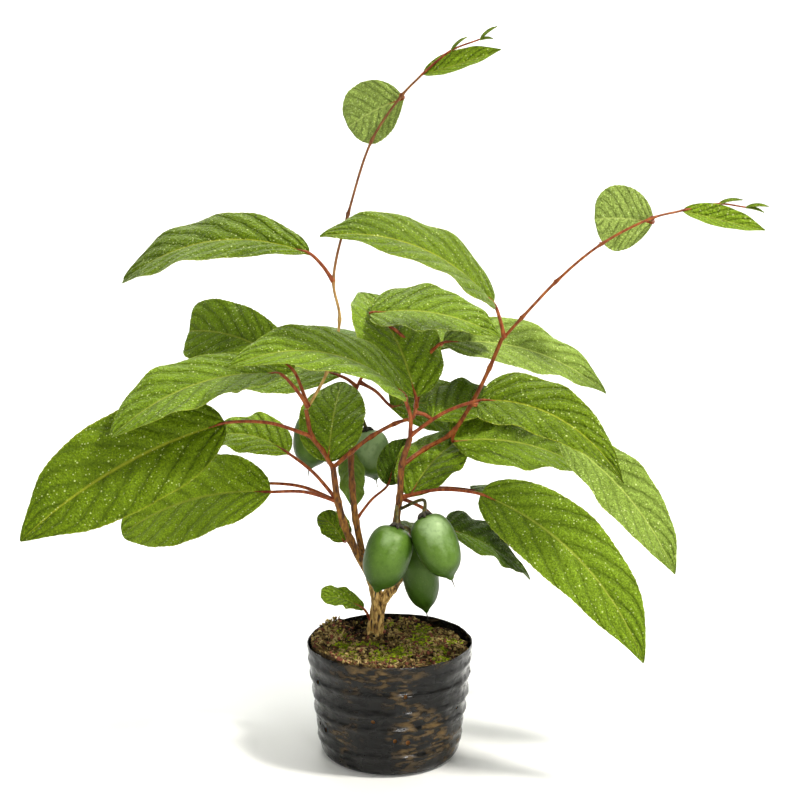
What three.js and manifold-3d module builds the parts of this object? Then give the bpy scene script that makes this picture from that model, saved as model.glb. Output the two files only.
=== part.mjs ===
// A young hardy kiwi vine growing in a short black nursery bag, in millimetres, +Z up.
// The origin is the centre of the bag's flat underside, and the plant is seen from -Y.
// Every stem is one tapered limb through its own nodes. Every leaf grows from a node of
// a stem on a stalk, and its blade is worked out from a length, a width and an aim.
import * as THREE from "three";
import { mergeVertices } from "three/addons/utils/BufferGeometryUtils.js";
import Module from "manifold-3d";

const wasm = await Module();
wasm.setup();

// Bag: a filled tube of thick black film with a flat round foot
const bagHeight = 70;
const rimRadius = 50;
const footRadius = 42;
const footEdge = 6; // rounding where the side turns under
const filmThickness = 1;
const bagSides = 30;
const foldHeights = [14, 32, 42, 53, 63]; // creases that run round the bag
const foldDepth = 0.6;
const drainRadius = 1.8;
const drainsInRow = 5;
const punchLength = 12;
const punchSides = 6;
const drainRows = [
  { height: 18, turn: -87 },
  { height: 37, turn: -107 },
];
const bulges = [
  { waves: 2, size: 0.7, turn: 0.7 },
  { waves: 5, size: 0.4, turn: 2 },
];

// Soil: the filling stands clear of the film and slopes down to the right
const soilGap = 0.35;
const soilLevel = 62;
const soilHeap = 3;
const soilSlope = 0.05;
const soilLump = 1.6;
const lumpSpacing = { across: 6, away: 5, slanting: 4 };
const slantingLump = 0.6; // share of the lumps that run slantwise
const soilEdge = 4; // what lies this near the film is fitted to it
const soilRings = [0.82, 0.63, 0.44, 0.24];
const trunkFoot = new THREE.Vector2(-9.5, 22);
const levelGround = [18, 27]; // the ground round the trunk is level, then rises and turns lumpy

// Limbs, stalks and leaves
const clearance = 0.35;
const limbSides = 6;
const limbStep = 10; // length of limb between its rings
const stalkSides = 5;
const stalkStep = 12; // length of stalk between its rings
const stalkRadius = 1.2;
const stalkTaper = 0.7;
const stalkBow = 0.07; // rise of a stalk's middle, of its length
const stalkRoot = 10; // length of stalk that is sunk into the blade
const shortRoot = 0.35; // the most of a short blade that its stalk is sunk into
const thinStalk = 0.35; // share of the full radius that even the smallest leaf has
const fullLeaf = 70; // a shorter leaf than this has a thinner stalk
const collarWall = 1.5; // a collar joins the leaves that share one node of a stem
const collarFaces = [8, 6];
const leafThickness = 1 / 85; // of the leaf's length
const thinnestLeaf = 0.6;
const leafEnd = 0.5; // half-width of the blade's two ends
const dripStart = 0.75; // where the blade draws in to its tip
const leafForm = {
  divisions: [4, 6], // across and along the blade
  fold: 14, // degrees that each half is raised from flat
  curl: 0.12, // how far the margins turn down again
  fill: [0.55, 0.75], // fullness towards the base and towards the tip
  drip: 0.3,
};
const roundForm = { fold: 5, curl: 0.05, fill: [0.65, 0.45], drip: 0 };
const budForm = { fold: 25, curl: 0, fill: [0.6, 0.8], drip: 0.2 };
const tuftForm = { ...budForm, divisions: [2, 3] };

const finishes = {
  leaf: { color: 0x6f9a35, roughness: 0.55, metalness: 0 },
  youngLeaf: { color: 0x8cab5c, roughness: 0.6, metalness: 0 },
  stem: { color: 0x8a4a32, roughness: 0.6, metalness: 0 },
  wood: { color: 0x8a6a42, roughness: 0.85, metalness: 0 },
  fruit: { color: 0x4f8a3a, roughness: 0.4, metalness: 0 },
  film: { color: 0x1c1c1a, roughness: 0.4, metalness: 0 },
  soil: { color: 0x5a4632, roughness: 1, metalness: 0 },
};

// The trunk is one solid: a flared foot that forks into two short arms
const trunk = {
  foot: { ends: [4.8, 4.3], nodes: [[-9.5, 22, 62.4], [-9.5, 22, 68], [-8, 21, 79], [-6, 19, 92]] },
  leftArm: { ends: [4, 3], nodes: [[-7, 20, 84], [-11, 18, 102], [-18.5, 16, 118]] },
  rightArm: { ends: [3.3, 2.7], nodes: [[-7, 20, 84], [0.5, 17, 96], [7, 15, 106]] },
};
const rootFlare = 1.8; // added to the foot's radius at the soil
const flareHeight = 0.16; // of the foot's length
const mainRoots = { count: 3, size: 0.35, turn: 1 };
const barkRidges = { count: 5, size: 0.5, wind: 9 };
const trunkRings = 6;
const trunkSides = 12;

// Stems: the radius at each end, and the nodes that the stem passes through
const stems = {
  stem_left: {
    ends: [2.5, 1.8],
    nodes: [[-18, 17, 115], [-24, 14, 128], [-28, 12, 139], [-31, 10, 153], [-34, 8, 175]],
  },
  stem_left_upper: {
    ends: [1.7, 1.5],
    nodes: [[-34, 8, 174], [-40, 6, 185], [-46, 4, 194], [-49, 0, 211]],
  },
  shoot_tall: {
    ends: [1.4, 1],
    nodes: [
      [-49, 0, 210], [-37, 10, 232], [-29.5, 14, 262], [-33, 12, 285],
      [-24, 8, 324], [-10, 3, 366], [7, -2, 391], [18, -5, 402],
    ],
  },
  stem_cross: {
    ends: [1.7, 1.3],
    nodes: [[-34, 8, 174], [-23, 12, 183], [-11, 15, 192], [3, 18, 199], [14, 20, 202]],
  },
  stem_middle: {
    ends: [2.2, 1.5],
    nodes: [[-16, 19, 113], [-21, 23, 138], [-23, 27, 159], [-24, 31, 176], [-22, 52, 212]],
  },
  stem_centre: {
    ends: [2.4, 1.7],
    nodes: [[6, 15, 104], [6, 12, 124], [4, 8, 141], [6, 4, 157], [7, 0, 178], [12, -4, 195]],
  },
  stem_right: {
    ends: [1.7, 1.4],
    nodes: [[7, 0, 177], [21, 12, 185], [36, 12, 194], [48, 2, 214], [58, -2, 236], [65, -6, 254]],
  },
  shoot_right: {
    ends: [1.4, 1],
    nodes: [[65, -6, 253], [76, -8, 266], [95.5, -6, 286.5], [121.5, -2, 307.7], [151, 4, 322], [168, 8, 326]],
  },
};

// Masses of foliage: each is one node that starts on a stem, at [stem, number of its node].
// It grows on a twig of its own, or holds the stem with a collar, or is a single leaf.
// A leaf's stalk is [length, heading, rise] and its blade [length, width]. Its aim is
// [heading, rise] at the base, and droop is how far it has turned down at the tip.
const masses = {
  foliage_centre: {
    on: ["stem_cross", 4],
    twig: { ends: [1.3, 1.1], nodes: [[14, 20, 202], [18, 32, 217], [21, 42, 234]] },
    leaves: [
      {
        at: 2, stalk: [45, -170, 41], blade: [82, 52], aim: [-10, 12], droop: 42, roll: 24,
        form: { fill: [0.4, 0.7] },
      },
      { at: 2, stalk: [18, -34, 42], blade: [110, 46], aim: [6, 6], droop: 48, roll: 34 },
      { at: 0.4, stalk: [9, -90, 50], blade: [88, 58], aim: [124, 68], droop: 50, roll: 0 },
      { at: 0.2, stalk: [12, 10, -20], blade: [72, 46], aim: [36, 25], droop: 50, roll: 20 },
      { at: 1.8, stalk: [16, 52, 34], blade: [100, 52], aim: [56, 22], droop: 52, roll: 8 },
    ],
  },
  foliage_front: {
    on: ["stem_centre", 5],
    twig: { ends: [1.6, 1.3], nodes: [[12, -4, 195], [12, -8, 208], [9, -13, 219]] },
    leaves: [
      {
        at: 2, stalk: [5, -101, 53], blade: [115, 49], aim: [-154, 46], droop: 68, roll: -29,
        form: { fill: [0.28, 0.7] },
      },
      {
        at: 0.1, stalk: [47, -14, 29], blade: [103, 43], aim: [-31, 10], droop: 66, roll: 34,
        form: { fill: [0.3, 0.95] },
      },
    ],
  },
  foliage_back: {
    on: ["stem_middle", 4],
    twig: { ends: [1.4, 1.1], nodes: [[-22, 52, 212], [-17, 58, 222], [-9, 62, 230]] },
    leaves: [
      {
        at: 0.3, stalk: [14, 160, 30], blade: [110, 62], aim: [150, 14], droop: 50, roll: -33,
        form: { fill: [0.5, 0.95] },
      },
      { at: 2, stalk: [12, 95, 20], blade: [102, 58], aim: [104, 22], droop: 56, roll: 0 },
      {
        at: 0.6, stalk: [26, 10, -38], blade: [100, 46], aim: [44, 4], droop: 46, roll: 54,
        form: { fill: [0.4, 0.75] },
      },
    ],
  },
  foliage_right: {
    on: ["stem_right", 3],
    leaves: [
      { stalk: [56, 2, -21], blade: [106, 40], aim: [-22, -28], droop: 38, roll: 36 },
    ],
  },
  foliage_right_under: {
    on: ["stem_right", 2.2],
    leaves: [
      {
        stalk: [12, 98, -48], blade: [98, 58], aim: [19, 4], droop: 40, roll: 30,
        form: { fill: [0.32, 0.75] },
      },
    ],
  },
  foliage_left: {
    on: ["shoot_tall", 0.1],
    leaves: [
      {
        stalk: [27, -159, 51], blade: [109, 49], aim: [-151, 10], droop: 50, roll: -20,
        form: { fill: [0.55, 0.6] },
      },
      {
        stalk: [24, 140, 60], blade: [85, 42], aim: [146, 32], droop: 40, roll: -62,
        form: { fill: [0.45, 0.15], drip: 0 },
      },
    ],
  },
  foliage_big_left: {
    on: ["stem_left_upper", 2],
    leaves: [
      { stalk: [57, -149, 14], blade: [132, 61], aim: [-161, -12], droop: 30, roll: -58 },
    ],
  },
  foliage_low_left: {
    on: ["stem_left", 3],
    leaves: [
      {
        stalk: [41, -174, 10], blade: [101, 60], aim: [170, 2], droop: 40, roll: -50,
        form: { fill: [0.55, 0.5] },
      },
      { stalk: [42, 165, 42], blade: [66, 35], aim: [152, 31], droop: 60, roll: -30 },
      { stalk: [50, 157, 8], blade: [95, 48], aim: [150, -6], droop: 40, roll: 0 },
    ],
  },
  foliage_low_right: {
    on: ["stem_centre", 3],
    leaves: [
      {
        stalk: [51, -23, 8], blade: [138, 46], aim: [-27, -13], droop: 55, roll: 52,
        form: { fill: [0.48, 0.75] },
      },
      {
        stalk: [36, 16, -35], blade: [68, 47], aim: [19, -19], droop: 30, roll: 20,
        form: { fill: [0.4, 0.75] },
      },
      { stalk: [6, -21, 14], blade: [66, 44], aim: [46, 52], droop: 50, roll: 10 },
      { stalk: [48, 24, 0], blade: [104, 48], aim: [28, -12], droop: 40, roll: 0 },
    ],
  },
  foliage_inner: {
    on: ["stem_left", 4],
    leaves: [
      { stalk: [7, 118, 10], blade: [62, 42], aim: [80, 70], droop: 50, roll: 0 },
    ],
  },
  foliage_inner_back: {
    on: ["stem_middle", 1],
    leaves: [
      { stalk: [29, 14, 46], blade: [33, 22], aim: [52, 68], droop: 30, roll: 42 },
    ],
  },
  foliage_hanging: {
    on: ["stem_middle", 3],
    leaves: [
      { stalk: [6, 100, 24], blade: [41, 20], aim: [80, -85], droop: -20, roll: 20 },
    ],
  },
  foliage_low_inner: {
    on: ["stem_left", 1],
    leaves: [
      {
        stalk: [9, 118, -20], blade: [24, 21], aim: [157, 66], droop: 50, roll: -30,
        form: { fill: [0.5, 0.55], drip: 0.1 },
      },
    ],
  },
  foliage_low_back: {
    on: ["stem_centre", 1],
    leaves: [
      { stalk: [12, 70, 20], blade: [76, 34], aim: [72, 10], droop: 60, roll: 0 },
    ],
  },
  foliage_basal: {
    on: ["trunk", 0.7],
    leaves: [
      {
        stalk: [19, -143, 66], blade: [30, 16], aim: [-164, 43], droop: 44, roll: -36,
        form: { fill: [0.5, 0.3], drip: 0 },
      },
    ],
  },
  foliage_high_left: {
    on: ["shoot_tall", 3],
    leaves: [
      {
        stalk: [22, -164, 50], blade: [132, 50], aim: [160, 19], droop: 57, roll: -32,
        form: { fill: [0.65, 0.45] },
      },
    ],
  },
  foliage_high_centre: {
    on: ["shoot_right", 0.1],
    leaves: [
      {
        stalk: [22, -131, 65], blade: [118, 59], aim: [-157, 50], droop: 57, roll: -30,
        form: { fill: [0.42, 0.8] },
      },
    ],
  },
  foliage_round_top: {
    on: ["shoot_tall", 6],
    young: true,
    leaves: [
      { stalk: [8, 85, -10], blade: [37, 38], aim: [164, -16], droop: 20, roll: -75, form: roundForm },
    ],
  },
  foliage_round_right: {
    on: ["shoot_right", 4],
    young: true,
    leaves: [
      { stalk: [8, 76, -22], blade: [34, 39], aim: [173, 13], droop: 20, roll: -78, form: roundForm },
    ],
  },
  foliage_tip_top: {
    on: ["shoot_tall", 7],
    young: true,
    twig: { ends: [0.9, 0.6], nodes: [[18, -5, 402], [34, -9, 415], [50, -12, 421]] },
    leaves: [
      { at: 0.05, blade: [46, 17], aim: [-15, 13], droop: -6, roll: 54, form: budForm },
      { at: 1, blade: [12, 4], aim: [-20, 48], droop: 20, roll: 30, form: tuftForm },
      { at: 2, blade: [12, 4], aim: [-18, 45], droop: 20, roll: 30, form: tuftForm },
      { at: 2, blade: [8, 3], aim: [-25, 12], droop: 20, roll: 30, form: tuftForm },
    ],
  },
  foliage_tip_right: {
    on: ["shoot_right", 5],
    young: true,
    twig: { ends: [0.9, 0.6], nodes: [[168, 8, 326], [190, 10, 330], [206, 10, 328]] },
    leaves: [
      { at: 0.05, blade: [48, 17], aim: [-10, -13], droop: 0, roll: 50, form: budForm },
      { at: 1, blade: [14, 4], aim: [-12, 20], droop: 20, roll: 30, form: tuftForm },
      { at: 2, blade: [13, 4], aim: [-13, 13], droop: 20, roll: 30, form: tuftForm },
      { at: 2, blade: [11, 3], aim: [-17, -5], droop: 20, roll: 30, form: tuftForm },
    ],
  },
};

// Fruits: each hangs on its own stalk from [stem, number of its node]
const fruits = {
  fruit_front_left: {
    on: ["stem_centre", 2.2], bend: [4, -12, 155], top: [4, -22, 146], tip: [-8, -26, 108], radius: 13.6,
  },
  fruit_front_right: {
    on: ["stem_centre", 2.5], bend: [20, -11, 159], top: [20, -24, 153], tip: [36, -28, 116], radius: 12.8,
  },
  fruit_front_low: {
    on: ["stem_centre", 1.7], bend: [11, 0, 139], top: [15, -3, 131], tip: [22, 0, 87], radius: 11,
  },
  fruit_left: {
    on: ["stem_middle", 3.1], bend: [-36, 44, 206], top: [-44, 40, 202], tip: [-50, 34, 167], radius: 13,
  },
  fruit_middle: {
    on: ["stem_middle", 3.4], bend: [-18, 52, 196], top: [-15, 57, 187], tip: [-9, 54, 156], radius: 12.5,
  },
};
const fruitSides = 10;
const fruitRings = 8;
const fruitFullness = 0.5;
const beakRadius = 0.9;
const beakStart = 0.95; // where the fruit draws in to its beak
const fruitStalk = 1;
const fruitStalkRings = 6;
const fruitRoot = 0.12; // of the fruit's length that its stalk is sunk

const radians = THREE.MathUtils.degToRad;
const lerp = THREE.MathUtils.lerp;
const smoothstep = THREE.MathUtils.smoothstep;

function vector([x, y, z]) {
  return new THREE.Vector3(x, y, z);
}

function direction(heading, rise) {
  const level = Math.cos(radians(rise));
  const across = Math.cos(radians(heading)) * level;
  const away = Math.sin(radians(heading)) * level;
  return new THREE.Vector3(across, away, Math.sin(radians(rise)));
}

function evenly(count) {
  return Array.from({ length: count + 1 }, (_, i) => i / count);
}

// A closed mesh with shared vertices as a solid, whichever way its faces point
function solid(geometry) {
  const vertProperties = geometry.attributes.position.array;
  const corners = Array.from(geometry.index.array);
  const faces = [];
  for (let i = 0; i < corners.length; i += 3) {
    const face = corners.slice(i, i + 3);
    if (new Set(face).size === 3) faces.push(...face);
  }
  const build = (triangles) => {
    const triVerts = new Uint32Array(triangles);
    return new wasm.Manifold(new wasm.Mesh({ numProp: 3, vertProperties, triVerts }));
  };
  const body = build(faces);
  return body.volume() > 0 ? body : build(faces.reverse());
}

// A closed primitive whose vertices are moved to where place(x, y, z) puts them
function shaped(primitive, place) {
  primitive.deleteAttribute("normal");
  primitive.deleteAttribute("uv");
  const geometry = mergeVertices(primitive);
  const position = geometry.attributes.position;
  for (let i = 0; i < position.count; i += 1) {
    const moved = place(position.getX(i), position.getY(i), position.getZ(i));
    position.setXYZ(i, moved.x, moved.y, moved.z);
  }
  return solid(geometry);
}

function mesh(name, body, finish) {
  const { vertProperties, triVerts } = body.getMesh();
  const geometry = new THREE.BufferGeometry();
  geometry.setAttribute("position", new THREE.BufferAttribute(vertProperties, 3));
  geometry.setIndex(new THREE.BufferAttribute(triVerts, 1));
  geometry.computeVertexNormals();
  const piece = new THREE.Mesh(geometry, new THREE.MeshStandardMaterial(finish));
  piece.name = name;
  return piece;
}

function curveThrough(points) {
  return new THREE.CatmullRomCurve3(points, false, "centripetal");
}

// A tube along a curve with flat ends. radiusAt gives its radius at a station and an angle.
function tube(curve, stations, sides, radiusAt, grow = 0) {
  const last = stations.length - 1;
  const rim = stations.map((_, i) => new THREE.Vector2(1, i));
  const profile = [new THREE.Vector2(0, 0), ...rim, new THREE.Vector2(0, last)];
  const { tangents, normals, binormals } = curve.computeFrenetFrames(last);
  return shaped(new THREE.LatheGeometry(profile, sides), (x, y, z) => {
    const ring = Math.round(y);
    const angle = Math.atan2(z, x);
    const onRim = Math.hypot(x, z) > 0.5;
    const radius = onRim ? radiusAt(stations[ring], angle) + grow : 0;
    const beyond = ring === 0 ? -grow : ring === last ? grow : 0;
    const point = curve.getPointAt(stations[ring]);
    point.addScaledVector(normals[ring], radius * Math.cos(angle));
    point.addScaledVector(binormals[ring], radius * Math.sin(angle));
    return point.addScaledVector(tangents[ring], beyond);
  });
}

function limb({ nodes, ends }, grow = 0) {
  const curve = curveThrough(nodes.map(vector));
  const rings = Math.max(3, Math.round(curve.getLength() / limbStep));
  return tube(curve, evenly(rings), limbSides, (station) => lerp(...ends, station), grow);
}

function trunkSolid(grow = 0) {
  const { foot, leftArm, rightArm } = trunk;
  const curve = curveThrough(foot.nodes.map(vector));
  const radiusAt = (station, angle) => {
    const flare = rootFlare * Math.exp(-station / flareHeight);
    const roots = 1 + mainRoots.size * Math.cos(mainRoots.count * angle + mainRoots.turn);
    const ridges = barkRidges.size * Math.cos(barkRidges.count * angle + barkRidges.wind * station);
    return lerp(...foot.ends, station) + flare * roots + ridges;
  };
  const base = tube(curve, evenly(trunkRings), trunkSides, radiusAt, grow);
  return base.add(limb(leftArm, grow)).add(limb(rightArm, grow));
}

// The place of a node on a stem. A number between two nodes is a place between them.
function nodePlace([name, number]) {
  const nodes = name === "trunk" ? trunk.foot.nodes : stems[name].nodes;
  return curveThrough(nodes.map(vector)).getPoint(number / (nodes.length - 1));
}

function halfWidth({ blade, form }, station) {
  const [toBase, toTip] = form.fill;
  const widest = toBase / (toBase + toTip);
  const outline = (u) => u ** toBase * (1 - u) ** toTip;
  const drip = 1 - form.drip * smoothstep(station, dripStart, 1);
  return Math.max(leafEnd, ((blade[1] / 2) * outline(station) * drip) / outline(widest));
}

function midribAim({ aim, droop }, station) {
  return direction(aim[0], aim[1] - droop * station);
}

// The blade's frames along its midrib: a place, the way across, and the way the face looks
function midrib(leaf, base) {
  const stations = leaf.form.divisions[1];
  const step = leaf.blade[0] / stations;
  const place = base.clone();
  const up = new THREE.Vector3(0, 0, 1);
  return evenly(stations).map((station) => {
    const along = midribAim(leaf, station);
    const side = along.clone().cross(up).normalize().applyAxisAngle(along, radians(leaf.roll));
    const frame = { place: place.clone(), side, face: side.clone().cross(along) };
    place.addScaledVector(midribAim(leaf, station + 0.5 / stations), step);
    return frame;
  });
}

function bladeSolid(leaf, base) {
  const frames = midrib(leaf, base);
  const { fold, curl, divisions } = leaf.form;
  const thickness = Math.max(thinnestLeaf, leaf.blade[0] * leafThickness);
  const slab = new THREE.BoxGeometry(2, 1, thickness, ...divisions, 1);
  return shaped(slab, (across, along, depth) => {
    const station = Math.round((along + 0.5) * divisions[1]);
    const { place, side, face } = frames[station];
    const half = halfWidth(leaf, station / divisions[1]);
    const out = across * half * Math.cos(radians(fold));
    const raised = half * (Math.abs(across) * Math.sin(radians(fold)) - curl * across ** 2);
    return place.clone().addScaledVector(side, out).addScaledVector(face, raised + depth);
  });
}

// A leaf on its stalk, which runs on under the blade as the midrib. A bud leaf has none.
function leafSolid(spec, start) {
  const leaf = { ...spec, form: { ...leafForm, ...spec.form } };
  if (!leaf.stalk) return bladeSolid(leaf, start);
  const [reach, heading, rise] = leaf.stalk;
  const base = start.clone().addScaledVector(direction(heading, rise), reach);
  const bow = start.clone().lerp(base, 0.5).add(new THREE.Vector3(0, 0, reach * stalkBow));
  const root = Math.min(stalkRoot, leaf.blade[0] * shortRoot);
  const sunk = base.clone().addScaledVector(midribAim(leaf, root / leaf.blade[0] / 2), root);
  const size = Math.min(1, thinStalk + leaf.blade[0] / fullLeaf);
  const radiusAt = (station) => stalkRadius * size * lerp(1, stalkTaper, station);
  const rings = Math.max(2, Math.round((reach + root) / stalkStep));
  const stalk = tube(curveThrough([start, bow, base, sunk]), evenly(rings), stalkSides, radiusAt);
  return stalk.add(bladeSolid(leaf, base));
}

function stemRadius([name, number]) {
  const { ends, nodes } = stems[name];
  return lerp(...ends, number / (nodes.length - 1));
}

function massSolid({ on, twig, leaves }) {
  const start = nodePlace(on);
  const twigCurve = twig && curveThrough(twig.nodes.map(vector));
  const place = ({ at }) => (twig ? twigCurve.getPoint(at / (twig.nodes.length - 1)) : start);
  let body = leaves.map((leaf) => leafSolid(leaf, place(leaf))).reduce((a, b) => a.add(b));
  if (twig) body = body.add(limb(twig));
  if (!twig && leaves.length > 1) {
    const radius = stemRadius(on) + clearance + collarWall;
    const collar = new THREE.SphereGeometry(radius, ...collarFaces);
    body = body.add(shaped(collar, (x, y, z) => new THREE.Vector3(x, y, z).add(start)));
  }
  return body;
}

function fruitSolid({ on, bend, top, tip, radius }) {
  const start = nodePlace(on);
  const neck = vector(top);
  const inside = neck.clone().lerp(vector(tip), fruitRoot);
  const stalkCurve = curveThrough([start, vector(bend), neck, inside]);
  const stalk = tube(stalkCurve, evenly(fruitStalkRings), stalkSides, () => fruitStalk);
  const stations = evenly(fruitRings).map((u) => (1 - Math.cos(Math.PI * u)) / 2);
  const radiusAt = (station) => {
    const swell = Math.sin(Math.PI * Math.min(1, station / beakStart)) ** fruitFullness;
    return Math.max(beakRadius, radius * swell);
  };
  return stalk.add(tube(new THREE.LineCurve3(neck, vector(tip)), stations, fruitSides, radiusAt));
}

// The bag's side as [height, radius]: it swells at each crease and draws in between them
const bagSide = [[footEdge, footRadius]];
foldHeights.forEach((height, i) => {
  const straight = lerp(footRadius, rimRadius, height / bagHeight);
  bagSide.push([height, straight + foldDepth / 2]);
  const next = foldHeights[i + 1] ?? bagHeight;
  const between = (height + next) / 2;
  bagSide.push([between, lerp(footRadius, rimRadius, between / bagHeight) - foldDepth / 2]);
});
bagSide.push([bagHeight, rimRadius]);

function bagRadius(height) {
  const above = bagSide.findIndex(([level]) => level >= height);
  if (above < 1) return footRadius;
  const [low, high] = [bagSide[above - 1], bagSide[above]];
  return lerp(low[1], high[1], (height - low[0]) / (high[0] - low[0]));
}

// The film isn't a true circle: it bulges a little more on some sides, most at the rim
function bulge(angle, height) {
  const swells = bulges.map(({ waves, size, turn }) => size * Math.sin(waves * angle + turn));
  return (height / bagHeight) * (swells[0] + swells[1]);
}

// The profile of a filled bag at a distance inside the film's outer face, up to a height
function bagProfile(inset, top) {
  const turns = [0, 45, 90].map((turn) => {
    const radius = footEdge - inset;
    const out = footRadius - footEdge + radius * Math.sin(radians(turn));
    return new THREE.Vector2(out, footEdge - radius * Math.cos(radians(turn)));
  });
  const side = bagSide.filter(([height]) => height > footEdge && height < top);
  const rings = side.map(([height, radius]) => new THREE.Vector2(radius - inset, height));
  const rim = new THREE.Vector2(bagRadius(top) - inset, top);
  return [new THREE.Vector2(0, inset), ...turns, ...rings, rim];
}

function bulged(x, height, z) {
  const angle = Math.atan2(z, x);
  const distance = Math.hypot(x, z);
  const scale = distance < 1 ? 1 : 1 + bulge(angle, height) / distance;
  return new THREE.Vector3(x * scale, z * scale, height);
}

function bagSolid() {
  const profile = [...bagProfile(0, bagHeight), ...bagProfile(filmThickness, bagHeight).reverse()];
  let bag = shaped(new THREE.LatheGeometry(profile, bagSides), bulged);
  for (const { height, turn } of drainRows) {
    for (let i = 0; i < drainsInRow; i += 1) {
      const angle = radians(turn + (i * 360) / drainsInRow);
      const punch = new THREE.CylinderGeometry(drainRadius, drainRadius, punchLength, punchSides);
      punch.rotateZ(Math.PI / 2);
      punch.translate(bagRadius(height), 0, height);
      punch.rotateZ(angle);
      bag = bag.subtract(shaped(punch, (x, y, z) => new THREE.Vector3(x, y, z)));
    }
  }
  return bag;
}

function groundHeight(x, y) {
  const distance = Math.hypot(x - trunkFoot.x, y - trunkFoot.y);
  const { across, away, slanting } = lumpSpacing;
  const crossing = Math.sin(x / across + 1) * Math.cos(y / away);
  const slantwise = slantingLump * Math.sin((x + y) / slanting);
  const rough = soilHeap + soilLump * (crossing + slantwise) - soilSlope * x;
  return soilLevel + rough * smoothstep(distance, ...levelGround);
}

function soilSolid() {
  const inset = filmThickness + soilGap;
  const side = bagProfile(inset, soilLevel);
  const edge = side[side.length - 1].x;
  const top = soilRings.map((share) => new THREE.Vector2(edge * share, soilLevel));
  const profile = [...side, ...top, new THREE.Vector2(0, soilLevel)];
  return shaped(new THREE.LatheGeometry(profile, bagSides), (x, height, z) => {
    const point = bulged(x, height, z);
    if (height < soilLevel) return point;
    point.z = groundHeight(point.x, point.y);
    const distance = Math.hypot(point.x, point.y);
    if (distance < edge - soilEdge) return point;
    const angle = Math.atan2(point.y, point.x);
    const reach = bagRadius(point.z) - inset + bulge(angle, point.z);
    return new THREE.Vector3(reach * Math.cos(angle), reach * Math.sin(angle), point.z);
  });
}

const group = new THREE.Group();
group.add(mesh("grow_bag", bagSolid(), finishes.film));
group.add(mesh("soil", soilSolid(), finishes.soil));
group.add(mesh("trunk", trunkSolid(), finishes.wood));

// Each stem is cut back to stand clear of the stems below it, and all else of every stem
let taken = trunkSolid(clearance);
for (const [name, stem] of Object.entries(stems)) {
  group.add(mesh(name, limb(stem).subtract(taken), finishes.stem));
  taken = taken.add(limb(stem, clearance));
}
for (const [name, mass] of Object.entries(masses)) {
  const finish = mass.young ? finishes.youngLeaf : finishes.leaf;
  group.add(mesh(name, massSolid(mass).subtract(taken), finish));
}
for (const [name, fruit] of Object.entries(fruits)) {
  group.add(mesh(name, fruitSolid(fruit).subtract(taken), finishes.fruit));
}

export default group;
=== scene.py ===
import math
import random

import bmesh
import bpy
import numpy as np
from mathutils import Matrix, Vector


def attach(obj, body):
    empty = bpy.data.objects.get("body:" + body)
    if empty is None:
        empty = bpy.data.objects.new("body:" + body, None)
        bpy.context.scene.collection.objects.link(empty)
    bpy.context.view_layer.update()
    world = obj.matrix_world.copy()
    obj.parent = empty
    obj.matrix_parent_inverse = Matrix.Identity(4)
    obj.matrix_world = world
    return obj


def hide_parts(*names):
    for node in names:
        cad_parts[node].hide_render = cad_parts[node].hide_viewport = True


# A young hardy kiwi vine in a short black nursery bag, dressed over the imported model.
# Settings are in millimetres and degrees unless a note says otherwise, and colours are linear.
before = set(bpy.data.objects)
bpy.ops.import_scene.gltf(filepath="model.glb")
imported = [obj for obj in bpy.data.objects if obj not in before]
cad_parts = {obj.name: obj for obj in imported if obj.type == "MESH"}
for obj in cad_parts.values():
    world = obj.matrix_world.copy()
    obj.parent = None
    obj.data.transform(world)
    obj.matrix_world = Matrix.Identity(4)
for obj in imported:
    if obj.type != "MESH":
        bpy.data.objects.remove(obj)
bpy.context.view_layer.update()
mm = 0.001
dice = random.Random(11)


# Small helpers for objects
def activate(*pieces):
    bpy.ops.object.select_all(action="DESELECT")
    for piece in pieces:
        piece.select_set(True)
    bpy.context.view_layer.objects.active = pieces[0]


def applyAll(piece):
    activate(piece)
    rulers = [modifier.texture_coords_object for modifier in piece.modifiers if modifier.type == "DISPLACE"]
    for modifier in list(piece.modifiers):
        bpy.ops.object.modifier_apply(modifier=modifier.name)
    for ruler in filter(None, rulers):
        bpy.data.objects.remove(ruler)


def settle(piece):  # its place goes into the mesh
    activate(piece)
    bpy.ops.object.transform_apply(location=True, rotation=True, scale=True)


def smoothOver(piece, degrees):
    activate(piece)
    bpy.ops.object.shade_smooth_by_angle(angle=math.radians(degrees))


def wear(piece, *materials):
    piece.data.materials.clear()
    for material in materials:
        piece.data.materials.append(material)


def handOver(piece, slot, *nodes):
    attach(piece, "root")
    if nodes:
        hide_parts(*nodes)
    print(piece.name, len(piece.data.polygons), "faces")


def addRelief(piece, name, grain, depth, strength, group="", stretch=None):
    texture = bpy.data.textures.new(name, "CLOUDS")
    texture.noise_scale = grain * mm
    texture.noise_depth = depth
    relief = piece.modifiers.new(name, "DISPLACE")
    relief.texture = texture
    relief.strength = strength * mm
    relief.vertex_group = group
    if stretch:  # an empty, which applyAll removes, stretches the texture along Z
        bpy.ops.object.empty_add()
        bpy.context.object.scale = (1, 1, stretch)
        relief.texture_coords = "OBJECT"
        relief.texture_coords_object = bpy.context.object
        bpy.context.view_layer.update()


def startRing(corners, radius, height=0):  # a circle in edit mode, all of it selected
    bpy.ops.mesh.primitive_circle_add(vertices=corners, radius=radius * mm, location=(0, 0, height * mm))
    piece = bpy.context.object
    settle(piece)
    bpy.ops.object.mode_set(mode="EDIT")
    bpy.ops.mesh.select_all(action="SELECT")
    return piece


def extrudeUp(step):
    bpy.ops.mesh.extrude_region_move(TRANSFORM_OT_translate={"value": (0, 0, step * mm)})


def extrudeRing(step, share, height):  # moves up by the step, then resizes at the height
    extrudeUp(step)
    bpy.ops.transform.resize(value=(share, share, 1), center_override=(0, 0, height * mm))


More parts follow.
